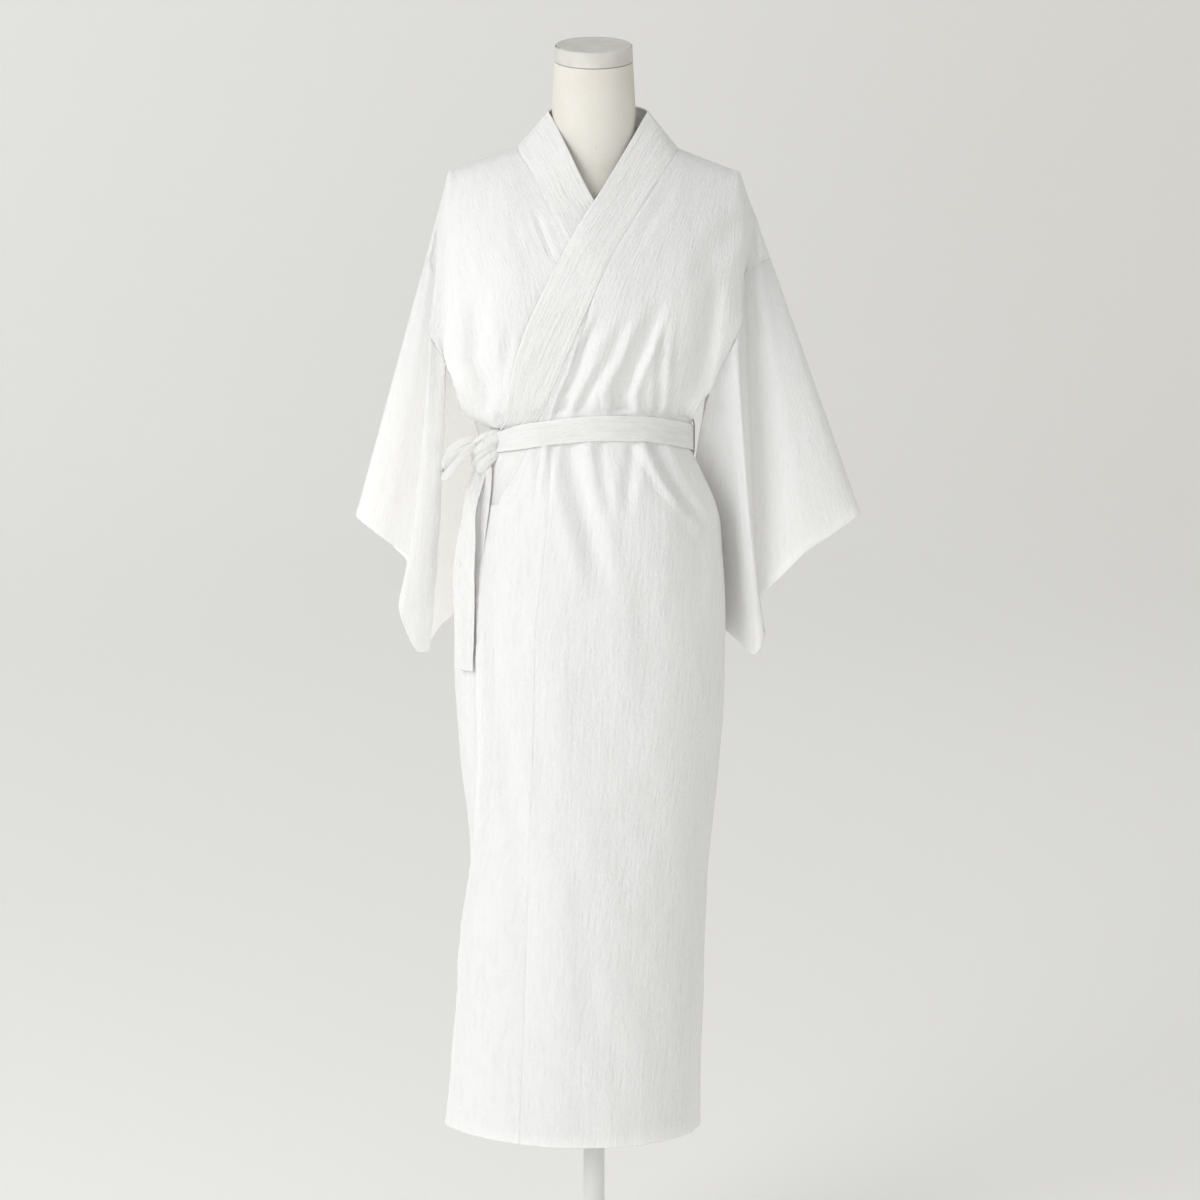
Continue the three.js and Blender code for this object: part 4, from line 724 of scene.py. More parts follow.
class Sheet:
    """Points, quads and lengths of one piece of cloth, joined from finer grids."""

    def __init__(self, *grids, flip=False, reach=0.02):
        points, uv, faces, count = [], [], [], 0
        for fine, shift in grids:
            size = fine.points.shape[:2]
            ids = count + np.arange(size[0] * size[1]).reshape(size)
            quads = np.stack([ids[:-1, :-1], ids[:-1, 1:], ids[1:, 1:], ids[1:, :-1]], axis=-1)
            faces.append(quads.reshape(-1, 4)[:, ::-1 if flip else 1])
            across, along = np.meshgrid(fine.columns + shift, fine.rows)
            points.append(fine.points.reshape(-1, 3))
            uv.append(np.stack([across, along], axis=-1).reshape(-1, 2))
            count += ids.size
        points, uv, faces = map(np.concatenate, (points, uv, faces))
        keys = np.round(points / reach).astype(np.int64)
        _, first, inverse = np.unique(keys, axis=0, return_index=True, return_inverse=True)
        joined = inverse.reshape(-1)[faces]
        whole = np.array([len(set(face)) >= 3 for face in joined.tolist()])
        self.points, self.uv = points[first], uv[first]
        self.faces, self.corner_uv = joined[whole], uv[faces][whole]

    def normals(self):
        a, b, c, d = (self.points[self.faces[:, i]] for i in range(4))
        face = np.cross(c - a, d - b)
        total = np.zeros_like(self.points)
        for i in range(4):
            np.add.at(total, self.faces[:, i], face)
        return total / np.maximum(np.linalg.norm(total, axis=1, keepdims=True), 1e-12)

    def rims(self):
        """Open edges, each in the order of its face."""
        seen = {}
        for face in self.faces.tolist():
            for a, b in zip(face, face[1:] + face[:1]):
                if a != b and not seen.pop((b, a), False):
                    seen[(a, b)] = True
        return list(seen)


def distance_to(points, lines):
    """Distance of each point from the nearest of some polylines."""
    best = np.full(len(points), 1e9)
    for line in lines:
        for a, b in zip(line[:-1], line[1:]):
            low, high = np.minimum(a, b) - 16, np.maximum(a, b) + 16
            near = np.flatnonzero(((points > low) & (points < high)).all(axis=1))
            if not len(near):
                continue
            along = b - a
            k = np.clip(((points[near] - a) @ along) / max(along @ along, 1e-9), 0, 1)
            gap = np.linalg.norm(points[near] - (a + k[:, None] * along), axis=1)
            best[near] = np.minimum(best[near], gap)
    return best


def waves(points, across, along, seed, count=14):
    """Smooth unevenness from -1 to 1, longer along the hang of the cloth than across it."""
    random = np.random.default_rng(seed)
    total = np.zeros(len(points))
    for _ in range(count):
        turn = random.uniform(0, 2 * math.pi)
        reach = random.uniform(0.6, 1.6)
        vector = np.array([math.cos(turn) / across, math.sin(turn) / across,
                           random.normal() / along]) * reach * 2 * math.pi
        total += np.sin(points @ vector + random.uniform(0, 2 * math.pi))
    return total / math.sqrt(count) / 1.3


def creases(points):
    """How far each point moves out or in for the listed creases."""
    angle = np.degrees(np.arctan2(points[:, 0], -points[:, 1]))
    reach = np.hypot(points[:, 0], points[:, 1])
    z = points[:, 2]
    total = np.zeros(len(points))
    rows = [(ends, row) for ends, group in CREASES.items() for row in group]
    for (low, high), (width, depth, skew, *path) in rows:
        angles, heights = np.array(sorted(path, key=lambda place: place[1]), float).T
        here = np.flatnonzero((z > heights[0] - 20) & (z < heights[-1] + 20))
        if not len(here):
            continue
        centre = np.interp(z[here], heights, angles)
        lean = np.interp(z[here], (heights[:-1] + heights[1:]) / 2,
                         np.diff(angles) / np.maximum(np.diff(heights), 1)) * np.radians(reach[here])
        lean = np.clip(lean, -1.4, 1.4)
        turn = (angle[here] - centre + 540) % 360 - 180
        d = np.radians(turn) * reach[here] / np.sqrt(1 + lean**2)
        share = (z[here] - heights[0]) / (heights[-1] - heights[0])
        x = d / (width * np.where(d > 0, 1 + skew, 1 - skew))
        sides = np.exp(-((np.abs(x) - 1.9) / 0.75) ** 2)
        total[here] -= (depth * (ease(share / low) * ease((1 - share) / high))
                        * (np.exp(-x**2) - 0.38 * sides))
    return total


def mesh_object(name, points, faces, uv=None):
    """A smooth object from points in mm and faces, with its lengths as UVs in metres."""
    mesh = bpy.data.meshes.new(name)
    mesh.from_pydata((np.asarray(points) / 1000).tolist(), [], faces)
    mesh.polygons.foreach_set("use_smooth", np.ones(len(faces), bool))
    if uv is not None:
        mesh.uv_layers.new(name="cloth").data.foreach_set("uv", (np.array(uv) / 1000).ravel())
    made = bpy.data.objects.new(name, mesh)
    bpy.context.scene.collection.objects.link(made)
    return made


def shell(name, sheet, wall, rim=1):
    """A closed thin shell on a sheet. wall is one number, or one for each point."""
    points, normals, count = sheet.points, sheet.normals(), len(sheet.points)
    half = np.broadcast_to(np.asarray(wall, float) / 2, (count,))[:, None]
    edges = sheet.rims()
    outward = {}
    for a, b in edges:
        for i in (a, b):
            out = np.cross(points[b] - points[a], normals[i])
            size = np.linalg.norm(out)
            if size > 1e-9:
                outward[i] = outward.get(i, 0) + out / size
    ids, extra = {}, []
    for i, out in outward.items():
        out = out / max(np.linalg.norm(out), 1e-9)
        for step in range(1, rim + 1):
            turn = math.pi * step / (rim + 1)
            ids[i, step] = 2 * count + len(extra)
            extra.append(points[i] + normals[i] * half[i] * math.cos(turn) + out * half[i] * math.sin(turn))
    polygons, uv = [], []
    for face, corner in zip(sheet.faces.tolist(), sheet.corner_uv.tolist()):
        keep = [i for i in range(4) if face[i] != face[i - 1]]
        for order, shift in ((keep, 0), (keep[::-1], count)):
            polygons.append([face[i] + shift for i in order])
            uv += [corner[i] for i in order]
    for a, b in edges:
        chain = [(a, b)] + [(ids[a, s], ids[b, s]) for s in range(1, rim + 1)] + [(a + count, b + count)]
        for (p, q), (r, s) in zip(chain[:-1], chain[1:]):
            polygons.append([q, p, r, s])
            uv += sheet.uv[[b, a, a, b]].tolist()
    return mesh_object(name, np.concatenate([points + normals * half, points - normals * half, extra]),
                       polygons, uv)


# ------------------------------------------------------------------ materials

def node(tree, kind, inputs=(), **settings):
    """A new node with its settings. Inputs are set to a value, or linked to another node's socket."""
    made = tree.nodes.new("ShaderNode" + kind)
    for name, value in settings.items():
        setattr(made, name, value)
    fill(tree, made, inputs)
    return made


def fill(tree, made, inputs):
    for name, value in dict(inputs).items():
        if isinstance(value, bpy.types.NodeSocket):
            tree.links.new(value, made.inputs[name])
        else:
            made.inputs[name].default_value = value


def noise(tree, place, size, detail=2.0, roughness=0.5, distortion=0.0):
    """Noise from 0 to 1, with a scale of its own along each axis."""
    spread = node(tree, "Mapping", {"Vector": place, "Scale": size}).outputs["Vector"]
    return node(tree, "TexNoise", {"Vector": spread, "Scale": 1.0, "Detail": detail, "Roughness": roughness,
                                   "Distortion": distortion}).outputs["Fac"]


def calc(tree, operation, a, b):
    return node(tree, "Math", {0: a, 1: b}, operation=operation).outputs[0]


def ramp(tree, factor, *stops):
    made = node(tree, "ValToRGB", {"Fac": factor})
    bar = made.color_ramp
    while len(bar.elements) > 1:
        bar.elements.remove(bar.elements[-1])
    bar.elements[0].position, bar.elements[0].color = stops[0][0], (*stops[0][1], 1)
    for position, colour in stops[1:]:
        bar.elements.new(position).color = (*colour, 1)
    return made.outputs["Color"]


def start_material(name, roughness, uv_map=None):
    made = bpy.data.materials.new(name)
    made.use_nodes = True
    tree = made.node_tree
    if uv_map:
        place = node(tree, "UVMap", uv_map=uv_map).outputs["UV"]
    else:
        place = node(tree, "TexCoord").outputs["Object"]
    return made, tree, place, {"Roughness": roughness}


def finish_material(made, colour, bumps, values):
    """Sets the shader. Each bump is a height from 0 to 1 and a distance in metres."""
    tree = made.node_tree
    for height, distance in bumps:
        inputs = {"Strength": 1.0, "Distance": distance, "Height": height}
        if "Normal" in values:
            inputs["Normal"] = values["Normal"]
        values["Normal"] = node(tree, "Bump", inputs).outputs["Normal"]
    fill(tree, tree.nodes["Principled BSDF"], {"Base Color": colour, **values})
    return made


def crepe(name, rib=1.0, run=26.0, crinkle=0.0011, white=1.0, weight=0.4, depth=0.0025, painted_glow=0.0):
    """White cotton crepe: uneven ribs along the warp, broken by short crinkles, and a fine grain.

    Its last argument paints a glow: an emission that stands in for the light coming through a single hanging
    layer to its inside.
    """
    made, tree, cloth, values = start_material(name, 0.95, "cloth")
    ribs = noise(tree, cloth, (260 * rib, run, 1), 1.5, 0.55, 0.2)
    fine_ribs = noise(tree, cloth, (620 * rib, 4 * run, 1), 2.0, 0.6)
    grain = noise(tree, cloth, (1500, 1300, 1), 2.0, 0.6)
    soft = noise(tree, cloth, (26, 8, 1), 3.0)
    pebble = noise(tree, cloth, (240, 190, 1), 2.0, 0.55)
    high = calc(tree, "ADD", ribs, calc(tree, "MULTIPLY", fine_ribs, 0.5))
    tone = calc(tree, "ADD", calc(tree, "MULTIPLY", high, 0.5), calc(tree, "MULTIPLY", soft, 0.3))
    shades = (0.28, (0.86, 0.857, 0.845)), (0.5, (0.94, 0.938, 0.93)), (0.72, (0.97, 0.969, 0.964))
    colour = ramp(tree, tone, *((at, [white * share for share in shade]) for at, shade in shades))
    values.update({"Subsurface Weight": weight, "Subsurface Radius": (1.0, 0.96, 0.9),
                   "Subsurface Scale": depth, "Sheen Weight": 0.1, "Sheen Roughness": 0.5,
                   "Specular IOR Level": 0.15})
    # painted light: an even warm glow standing in for light through the cloth
    if painted_glow:
        values.update({"Emission Color": (1, 0.965, 0.90, 1), "Emission Strength": painted_glow})
    bumps = [(soft, 0.0014), (pebble, 0.0009), (high, crinkle), (grain, 0.0003)]
    return finish_material(made, colour, bumps, values)


def cover_cloth(name):
    """The close cream cover of the dress form."""
    made, tree, place, values = start_material(name, 0.86)
    weave = noise(tree, place, (900, 900, 700), 2.0, 0.6)
    soft = noise(tree, place, (14, 14, 9), 3.0)
    tone = calc(tree, "ADD", calc(tree, "MULTIPLY", weave, 0.35), calc(tree, "MULTIPLY", soft, 0.65))
    colour = ramp(tree, tone, (0.3, (0.70, 0.67, 0.60)), (0.55, (0.79, 0.765, 0.71)),
                  (0.8, (0.83, 0.81, 0.765)))
    values["Specular IOR Level"] = 0.25
    return finish_material(made, colour, [(soft, 0.0012), (weave, 0.00018)], values)


def cap_paint(name):
    """Pale lacquer on the neck cap, worn brown along its top edge."""
    made, tree, place, values = start_material(name, 0.5)
    soft = noise(tree, place, (30, 30, 30), 4.0, 0.6)
    worn = noise(tree, place, (75, 75, 140), 4.0, 0.65)
    paint = ramp(tree, soft, (0.3, (0.60, 0.585, 0.54)), (0.6, (0.70, 0.69, 0.65)),
                 (0.8, (0.76, 0.75, 0.715)))
    bare = ramp(tree, soft, (0.3, (0.10, 0.055, 0.03)), (0.7, (0.23, 0.14, 0.085)))
    edge = node(tree, "VertexColor", layer_name="edge").outputs["Color"]
    cut = calc(tree, "SUBTRACT", calc(tree, "ADD", edge, worn), 1.0)
    share = node(tree, "Clamp", {"Value": calc(tree, "MULTIPLY", cut, 14.0)}).outputs[0]
    both = node(tree, "Mix", {"Factor": share, "A": paint, "B": bare}, data_type="RGBA")
    return finish_material(made, both.outputs["Result"], [(worn, 0.0003)], values)


def stand_paint(name):
    """White powder coat on the stand."""
    made, tree, place, values = start_material(name, 0.42)
    peel = noise(tree, place, (420, 420, 420))
    soft = noise(tree, place, (11, 11, 5), 3.0, 0.55)
    colour = ramp(tree, soft, (0.3, (0.80, 0.80, 0.785)), (0.7, (0.875, 0.875, 0.865)))
    return finish_material(made, colour, [(peel, 0.00006)], values)


def paper(name):
    """The pale backdrop, uneven in tone, with painted shade that darkens it towards the right where less
    light falls.
    """
    made, tree, place, values = start_material(name, 0.95)
    tone = noise(tree, place, (0.5, 0.5, 0.5))
    # painted shade: the colour darkens along x, towards the right
    apart = node(tree, "SeparateXYZ", {0: place}).outputs["X"]
    across = calc(tree, "ADD", calc(tree, "MULTIPLY", apart, 0.14), 0.5)
    tone = calc(tree, "ADD", across, calc(tree, "MULTIPLY", tone, 0.08))
    values.update({"Emission Color": (1, 1, 0.98, 1), "Emission Strength": 0.18})
    colour = ramp(tree, tone, (0.1, (0.93, 0.93, 0.922)), (0.9, (0.74, 0.732, 0.70)))
    return finish_material(made, colour, [], values)


HANGING = dict(crinkle=0.0006, weight=0.6, depth=0.0035)
WHITE_CREPE = crepe("white crepe")
SLEEVE_CREPE = crepe("white crepe, single hanging layer", **HANGING)
# The insides of the sleeves glow with painted light, stronger on the right, standing in for light through
# the cloth.
SLEEVE_INSIDE_GLOW = {title: crepe(f"white crepe, inside of the {title} sleeve", **HANGING, painted_glow=painted_glow)
                 for title, painted_glow in (("left", 0.07), ("right", 0.21))}
# The folded bands (collar, belt, knot, carrier) are painted a shade darker, white=0.93: painted shade on the
# same cloth as the body.
BAND_CREPE = crepe("white crepe, folded band", rib=1.25, run=12.0, crinkle=0.0017, white=0.93)
COVER = cover_cloth("cream cover")
CAP_PAINT = cap_paint("worn cap paint")
STAND_PAINT = stand_paint("white stand paint")


# ------------------------------------------------------------------ panels of cloth

HEM_WIDTH, HEM_EXTRA = 10.0, 0.9  # a hem is turned over, so its wall is thicker
HELD_REACH = 45        # a hanging sheet has the body's creases this near its seam
DRIFT = 0.9            # of hanging cloth from an even surface
UNDER_BELT = 0.22      # share of the creases that the belt leaves
COLLAR_TAPER = 45      # of the band's wall towards its ends
# Height, half width and half depth of the oval from which creases move the cloth in and out.
BODY_OVAL = [(247, 153, 121), (700, 160, 119), (900, 176, 119), (1090, 146, 100), (1160, 125, 92),
             (1230, 165, 104), (1300, 195, 112), (1400, 207, 100), (1470, 214, 78), (1529, 216, 50)]


def seat(piece, name, material):
    piece.data.materials.append(material)
    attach(piece, "root")
    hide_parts(name)


def outward(points):
    """Direction away from the body at any place, the same for every sheet, so that seams stay joined."""
    heights, half, depth = np.array(BODY_OVAL, float).T
    x, y, z = points.T
    a, b = (np.interp(z, heights, size) for size in (half, depth))
    steep_a, steep_b = ((np.interp(z + 12, heights, size) - np.interp(z - 12, heights, size)) / 24
                        for size in (half, depth))
    away = np.stack([x / a**2, y / b**2, -(x**2 * steep_a / a**3 + y**2 * steep_b / b**3)], axis=-1)
    return away / np.maximum(np.linalg.norm(away, axis=1, keepdims=True), 1e-9)


def loosen(points):
    """Moves the points of a sheet for creases and for the unevenness of hanging cloth."""
    x, y, z = points.T
    rise = np.where(y < 0, WAIST_RISE, -WAIST_DROP)
    waist = WAIST_Z + rise * np.sqrt(1 - np.minimum(1, np.abs(x) / WAIST_HALF)**2)
    held = UNDER_BELT + (1 - UNDER_BELT) * ease((np.abs(z - waist) - BELT_WIDTH / 2) / 7)
    drift = DRIFT * waves(points, 80, 300, 11) + DRIFT / 3 * waves(points, 34, 120, 12)
    move = creases(points) + drift * ease((SHOULDER_FREE - z) / 160)
    return outward(points) * (move * held)[:, None]


def cloth_shell(name, sheet, seams, hems, wall=SHEET, free=False, rim=1):
    """Adds creases, seams and hems to a sheet, and makes its shell.

    A seam lies in a dip between two low swells, puckered by its stitches. A hem waves a little. A free
    sheet has creases beside its seams only.
    """
    base = sheet.points.copy()
    d = distance_to(base, seams)
    share = ease(1 - d / HELD_REACH)[:, None] if free else 1.0
    sheet.points = base + loosen(base) * share
    pucker = 0.75 + 0.25 * waves(base, 9, 16, 13)
    dip = (SEAM_DEPTH * np.exp(-(d / 1.5) ** 2) - 0.35 * np.exp(-((d - 4.2) / 2.2) ** 2)) * pucker
    edge = distance_to(base, hems)
    ripple = 0.8 * waves(base, 30, 30, 14) * np.exp(-(edge / 9) ** 2)
    ripple = ripple + 0.3 * waves(base, 11, 60, 15) * np.exp(-((edge - 9) / 6) ** 2)
    sheet.points = sheet.points + sheet.normals() * (ripple - dip)[:, None]
    thick = wall + HEM_EXTRA * ease((HEM_WIDTH + 1.0 - edge) / 1.6)
    return shell(name, sheet, thick, rim)


def add_body(title, side):
    """Half of the body, from the front hem over the shoulder to the back hem."""
    front = skirt_panel(side, True) + upper_panel(side, True)[1:]
    back = skirt_panel(side, False) + upper_panel(side, False)[1:]
    fine = refine(front + back[-2::-1], column_edges=(0, SIDE_COLUMN, -1), mirrored=True)
    grid = fine.points
    waist, slit = (int(np.searchsorted(fine.rows, fine.row_knots[len(SKIRT_ROWS) + above]))
                   for above in (-1, 4))
    seam = int(np.searchsorted(fine.columns, fine.column_knots[SIDE_COLUMN]))
    for row in range(waist + 1):
        grid[row, seam:] = grid[-1 - row, seam:] = (grid[row, seam:] + grid[-1 - row, seam:]) / 2
    end = len(grid)
    seams = [grid[:, 0], grid[:waist + 1, seam], grid[slit:end - slit, -1]]
    hems = [grid[0, :seam + 1], grid[-1, :seam + 1],
            grid[waist:slit + 1, -1], grid[end - slit - 1:end - waist, -1]]
    body = cloth_shell(f"body_{title}", Sheet((fine, 0), flip=side.sign < 0), seams, hems)
    seat(body, f"body_{title}", WHITE_CREPE)


def add_okumi(title, side):
    """The okumi as two grids: from the collar's end to the body, and from there to the free edge."""
    lower = okumi_lower(side)
    last = len(lower) - 1
    inner = refine([row[3:] for row in lower] + okumi_beside(side)[1:] + okumi_upper(side)[1:],
                   row_edges=(0, last, -1))
    plan = inner.row_knots[:last + 1], inner.rows[inner.rows <= inner.row_knots[last] + 1e-6]
    outer = refine([row[:4] for row in lower], rows=plan)
    miss = inner.points[:len(plan[1]), 0] - outer.points[:, -1]
    reach = outer.columns[-1]
    outer.points += miss[:, None] * ease(1 - (reach - outer.columns) / 30)[None, :, None]
    sheet = Sheet((inner, reach), (outer, 0), flip=side.sign < 0)
    inner, outer = inner.points, outer.points
    seams = [inner[:, -1], inner[len(outer) - 1:, 0], outer[-1]]
    okumi = cloth_shell(f"okumi_{title}", sheet, seams, [outer[:, 0], outer[0], inner[0]])
    seat(okumi, f"okumi_{title}", WHITE_CREPE)


def add_sleeve(title, side):
    """A sleeve, open below, with a painted glow on its inside that stands in for daylight through the cloth.
    """
    fine = refine(sleeve_grid(side))
    sheet = Sheet((fine, 0), flip=side.sign > 0)
    grid = fine.points
    edges = [grid[-1], grid[:, 0], grid[:, -1]]
    sleeve = cloth_shell(f"sleeve_{title}", sheet, [grid[0]], edges, free=True)
    seat(sleeve, f"sleeve_{title}", SLEEVE_CREPE)
    # the inner faces of the sheet take the material with the painted glow
    sleeve.data.materials.append(SLEEVE_INSIDE_GLOW[title])
    for polygon in list(sleeve.data.polygons)[1:2 * len(sheet.faces):2]:
        polygon.material_index = 1


for title, side in (("left", LEFT), ("right", RIGHT)):
    add_body(title, side)
    add_okumi(title, side)
    add_sleeve(title, side)

fine = refine(collar_grid())
sheet = Sheet((fine, 0), flip=True)
along = sheet.uv[:, 1]
band = mix(SHEET, BAND_SHEET, ease(np.minimum(along, along.max() - along) / COLLAR_TAPER))
sheet.points = sheet.points - sheet.normals() * ((BAND_SHEET - band) / 2)[:, None]
seat(cloth_shell("collar", sheet, [fine.points[:, 0]], [], wall=band, rim=3), "collar", BAND_CREPE)


# ------------------------------------------------------------------ belt

def uneven(points, *rows):
    """Adds up waves, each with a size and what waves() takes."""
    return sum(size * waves(points, *shape) for size, *shape in rows)


def ribbon(name, fine, wall, ripples, calm, press, curl=0.0, slack=()):
    """A folded strip, pressed flat along its edges. calm and press each have a share and a power."""
    sheet = Sheet((fine, 0))
    base = sheet.points
    across = 2 * sheet.uv[:, 0] / sheet.uv[:, 0].max() - 1
    move = uneven(base, *ripples) * (1 - calm[0] * across**calm[1]) + curl * (across**2 - 0.4)
    sheet.points = base + sheet.normals() * move[:, None]
    plump = 1 - press[0] * np.abs(across) ** press[1] + uneven(base, *slack)
    seat(shell(name, sheet, wall * np.clip(plump, 0.5, 1.3), 3), name, BAND_CREPE)


BELT_START, BELT_END, BELT_STEPS = -79, 275, 88  # from the knot round the front and the back
belt_rows = [[belt_point(mix(BELT_START, BELT_END, i / BELT_STEPS), height)
              for height in (-BELT_WIDTH / 2, 0, BELT_WIDTH / 2)] for i in range(BELT_STEPS + 1)]
ribbon("belt_waist", refine(belt_rows, min(STEP, 4.0)), SASH_SHEET,
       [(0.5, 30, 14, 31), (0.28, 12, 6, 32)], (0.6, 6), (0.25, 8))

for name, rows, wall, curl, seed in (("belt_loop", LOOP, 1.7, -1.6, 41),
                                     ("belt_tail_front", FRONT_TAIL, 1.8, -0.8, 51),
                                     ("belt_tail_back", BACK_TAIL, 1.8, -0.8, 61)):
    edges = np.reshape(rows, (-1, 2, 3))
    grid = np.stack([mix(edges[:, 0], edges[:, 1], u) for u in (0, 0.5, 1)], axis=1)
    plan = stations(*lengths(grid), 3.5, (0, -1), (0.6,))
    turned = hermite(grid, *plan).transpose(1, 0, 2)
    fine = refine(grid, rows=plan, columns=stations(*lengths(turned), 2.4, (0, -1), (0.7,)))
    ribbon(name, fine, wall, [(0.7, 17, 24, seed), (0.35, 7, 11, seed + 1)], (0.5, 4), (0.3, 6), curl,
           [(0.12, 20, 12, seed + 2)])


def ring_faces(rings, sides, start=0):
    """Quads between rings of points that follow one another."""
    return [(start + r * sides + i, start + r * sides + (i + 1) % sides,
             start + (r + 1) * sides + (i + 1) % sides, start + (r + 1) * sides + i)
            for r in range(rings - 1) for i in range(sides)]


def roll_faces(rings, sides):
    """The same, with both ends closed."""
    return ring_faces(rings, sides) + [tuple(range(sides))[::-1],
                                       tuple(range((rings - 1) * sides, rings * sides))]


PLEAT = 0.07           # depth of the lengthwise pleats of a strand, as a share of its radius
KNOT_VOXEL = 0.0006    # metres


def strand(rows, sides=28, rings=33):
    """A soft flattened roll of cloth along some places, as rings of points."""
    route = np.array(rows, float)
    knots = np.concatenate([[0], np.cumsum(np.linalg.norm(np.diff(route[:, :3], axis=0), axis=1))])
    path = hermite(route[:, None], knots, np.linspace(0, knots[-1], rings))[:, 0]
    ahead = np.gradient(path[:, :3], axis=0)
    across = np.cross(ahead, (0, 1, 0))
    across /= np.linalg.norm(across, axis=1, keepdims=True)
    out = np.cross(across, ahead)
    out /= np.linalg.norm(out, axis=1, keepdims=True)
    points = []
    for i, (place, a, o) in enumerate(zip(path, across, out)):
        full = math.sqrt(max(0.04, 1 - (2 * i / (rings - 1) - 1) ** 6))
        for turn in np.linspace(0, 2 * math.pi, sides, endpoint=False):
            pleat = 1 + PLEAT * math.sin(5 * turn + 0.16 * i)
            points.append(place[:3] + full * pleat * (a * place[3] * math.cos(turn)
                                                      + o * place[4] * math.sin(turn)) / 2)
    return points, roll_faces(rings, sides)


def knot(name):
    """The knot: the folded belt drawn tight over itself, its strands pressed into one another."""
    points, faces = [], []
    for rows in KNOT:
        own, quads = strand(rows)
        faces += [tuple(i + len(points) for i in quad) for quad in quads]
        points += own
    made = mesh_object(name, points, faces)
    fuse = made.modifiers.new("fuse", "REMESH")
    fuse.mode, fuse.voxel_size = "VOXEL", KNOT_VOXEL
    soften = made.modifiers.new("soften", "SMOOTH")
    soften.factor, soften.iterations = 0.5, 3
    bpy.context.view_layer.update()
    final = bpy.data.meshes.new_from_object(made.evaluated_get(bpy.context.evaluated_depsgraph_get()))
    made.modifiers.clear()
    made.data = final
    final.name = name
    place = np.array([final.vertices[loop.vertex_index].co[:] for loop in final.loops])
    uv = np.stack([place[:, 0] - place[:, 1], place[:, 2]], axis=-1)
    final.uv_layers.new(name="cloth").data.foreach_set("uv", uv.ravel())
    final.polygons.foreach_set("use_smooth", np.ones(len(final.polygons), bool))
    return made


def thread(name, path, radius, sides=12):
    """A closed twisted thread along a path."""
    path = np.asarray(path, float)
    points = []
    for i, place in enumerate(path):
        ahead = path[min(i + 1, len(path) - 1)] - path[max(i - 1, 0)]
        ahead = ahead / np.linalg.norm(ahead)
        first = np.cross(ahead, (0.3, 1, 0.2))
        first /= np.linalg.norm(first)
        second = np.cross(ahead, first)
        for turn in 2 * math.pi * np.arange(sides) / sides:
            twist = 1 + 0.16 * math.cos(3 * turn + i * 1.1)
            points.append(place + radius * twist * (first * math.cos(turn) + second * math.sin(turn)))
    made = mesh_object(name, points, roll_faces(len(path), sides))
    made.data.uv_layers.new(name="cloth")
    return made


seat(knot("belt_knot"), "belt_knot", BAND_CREPE)

CARRIER_ANGLE, CARRIER_RADIUS = 84, 0.9
beside = belt_point(CARRIER_ANGLE, 0)
carrier = [[beside + (bulge, 0, height)] for height, bulge in (
    (-24, 0.2), (-20, 1.2), (-16, SASH / 2 + 1.0), (0, SASH / 2 + 1.1),
    (16, SASH / 2 + 1.0), (20, 1.2), (24, 0.2))]
carrier = hermite(carrier, np.linspace(0, 1, len(carrier)), np.linspace(0, 1, 49))[:, 0]
seat(thread("belt_carrier", carrier, CARRIER_RADIUS), "belt_carrier", BAND_CREPE)


# ------------------------------------------------------------------ dress form and stand

def circle(radius, sides=FORM_SIDES):
    turn = 2 * math.pi * np.arange(sides) / sides
    return radius * np.cos(turn), radius * np.sin(turn)


def form_ring(z, half, front, back, neck):
    x, y = circle(1.0)
    angle = np.arctan2(y, 1.5 * x)
    c, s = np.cos(angle), np.sin(angle)
    oval = 1 / np.hypot(c / half, s / np.where(s < 0, front, back))
    reach = (oval**8 + float(neck)**8) ** (1 / 8)
    return np.stack([reach * c, reach * s, np.full(FORM_SIDES, z)], axis=-1)


def level_ring(radius, z, tilt=0.0):
    """A circle seen from above, on a level or a sloping plane."""
    x, y = circle(radius)
    return np.stack([x, y, z + y * math.tan(tilt)], axis=-1)


def ring_object(name, first, rings, last, sharp=35):
    """A closed solid of rings from a first point to a last one, with crisp edges over an angle."""
    sides = len(rings[0])
    points = np.concatenate([[first], *rings, [last]])
    top = 1 + (len(rings) - 1) * sides
    faces = [(0, 1 + (i + 1) % sides, 1 + i) for i in range(sides)] + ring_faces(len(rings), sides, 1)
    faces += [(top + i, top + (i + 1) % sides, len(points) - 1) for i in range(sides)]
    made = mesh_object(name, points, faces)
    work = bmesh.new()
    work.from_mesh(made.data)
    bmesh.ops.recalc_face_normals(work, faces=work.faces)
    work.normal_update()
    for edge in work.edges:
        edge.smooth = edge.calc_face_angle(0) <= math.radians(sharp)
    work.to_mesh(made.data)
    work.free()
    return made


RING_STEP = 7          # between the form's rings
COVER_SEAM_DEPTH = 0.35
socket = POLE_RADIUS + FIT
heights = np.array([row["z"] for row in FORM] + [NECK_TOP_Z], float)
rings = [form_ring(**row) for row in FORM] + [level_ring(NECK_TOP_RADIUS, NECK_TOP_Z, CAP_TILT)]
rings = hermite(rings, heights, np.unique(np.concatenate(
    [heights] + [np.linspace(a, b, max(2, round((b - a) / RING_STEP)), endpoint=False)
                 for a, b in zip(heights[:-1], heights[1:])])))
for middle in np.arange(4) * FORM_SIDES // 4:  # the cover's four seams
    inward = rings[:, middle] * (1, 1, 0)
    rings[:, middle] -= (COVER_SEAM_DEPTH * inward
                         / np.maximum(np.linalg.norm(inward, axis=1, keepdims=True), 1e-6))
bottom = {column: FORM[0][column] - less for column, less in zip(FORM[0], (4, 8, 8, 8, 0))}
top_of_socket = (0, 0, POLE_TOP_Z + FIT)
rings = [level_ring(socket, POLE_TOP_Z + FIT), level_ring(socket, bottom["z"]), form_ring(**bottom), *rings]
torso = ring_object("form_torso", top_of_socket, rings, (0, 0, NECK_TOP_Z), 50)
seat(torso, "form_torso", COVER)


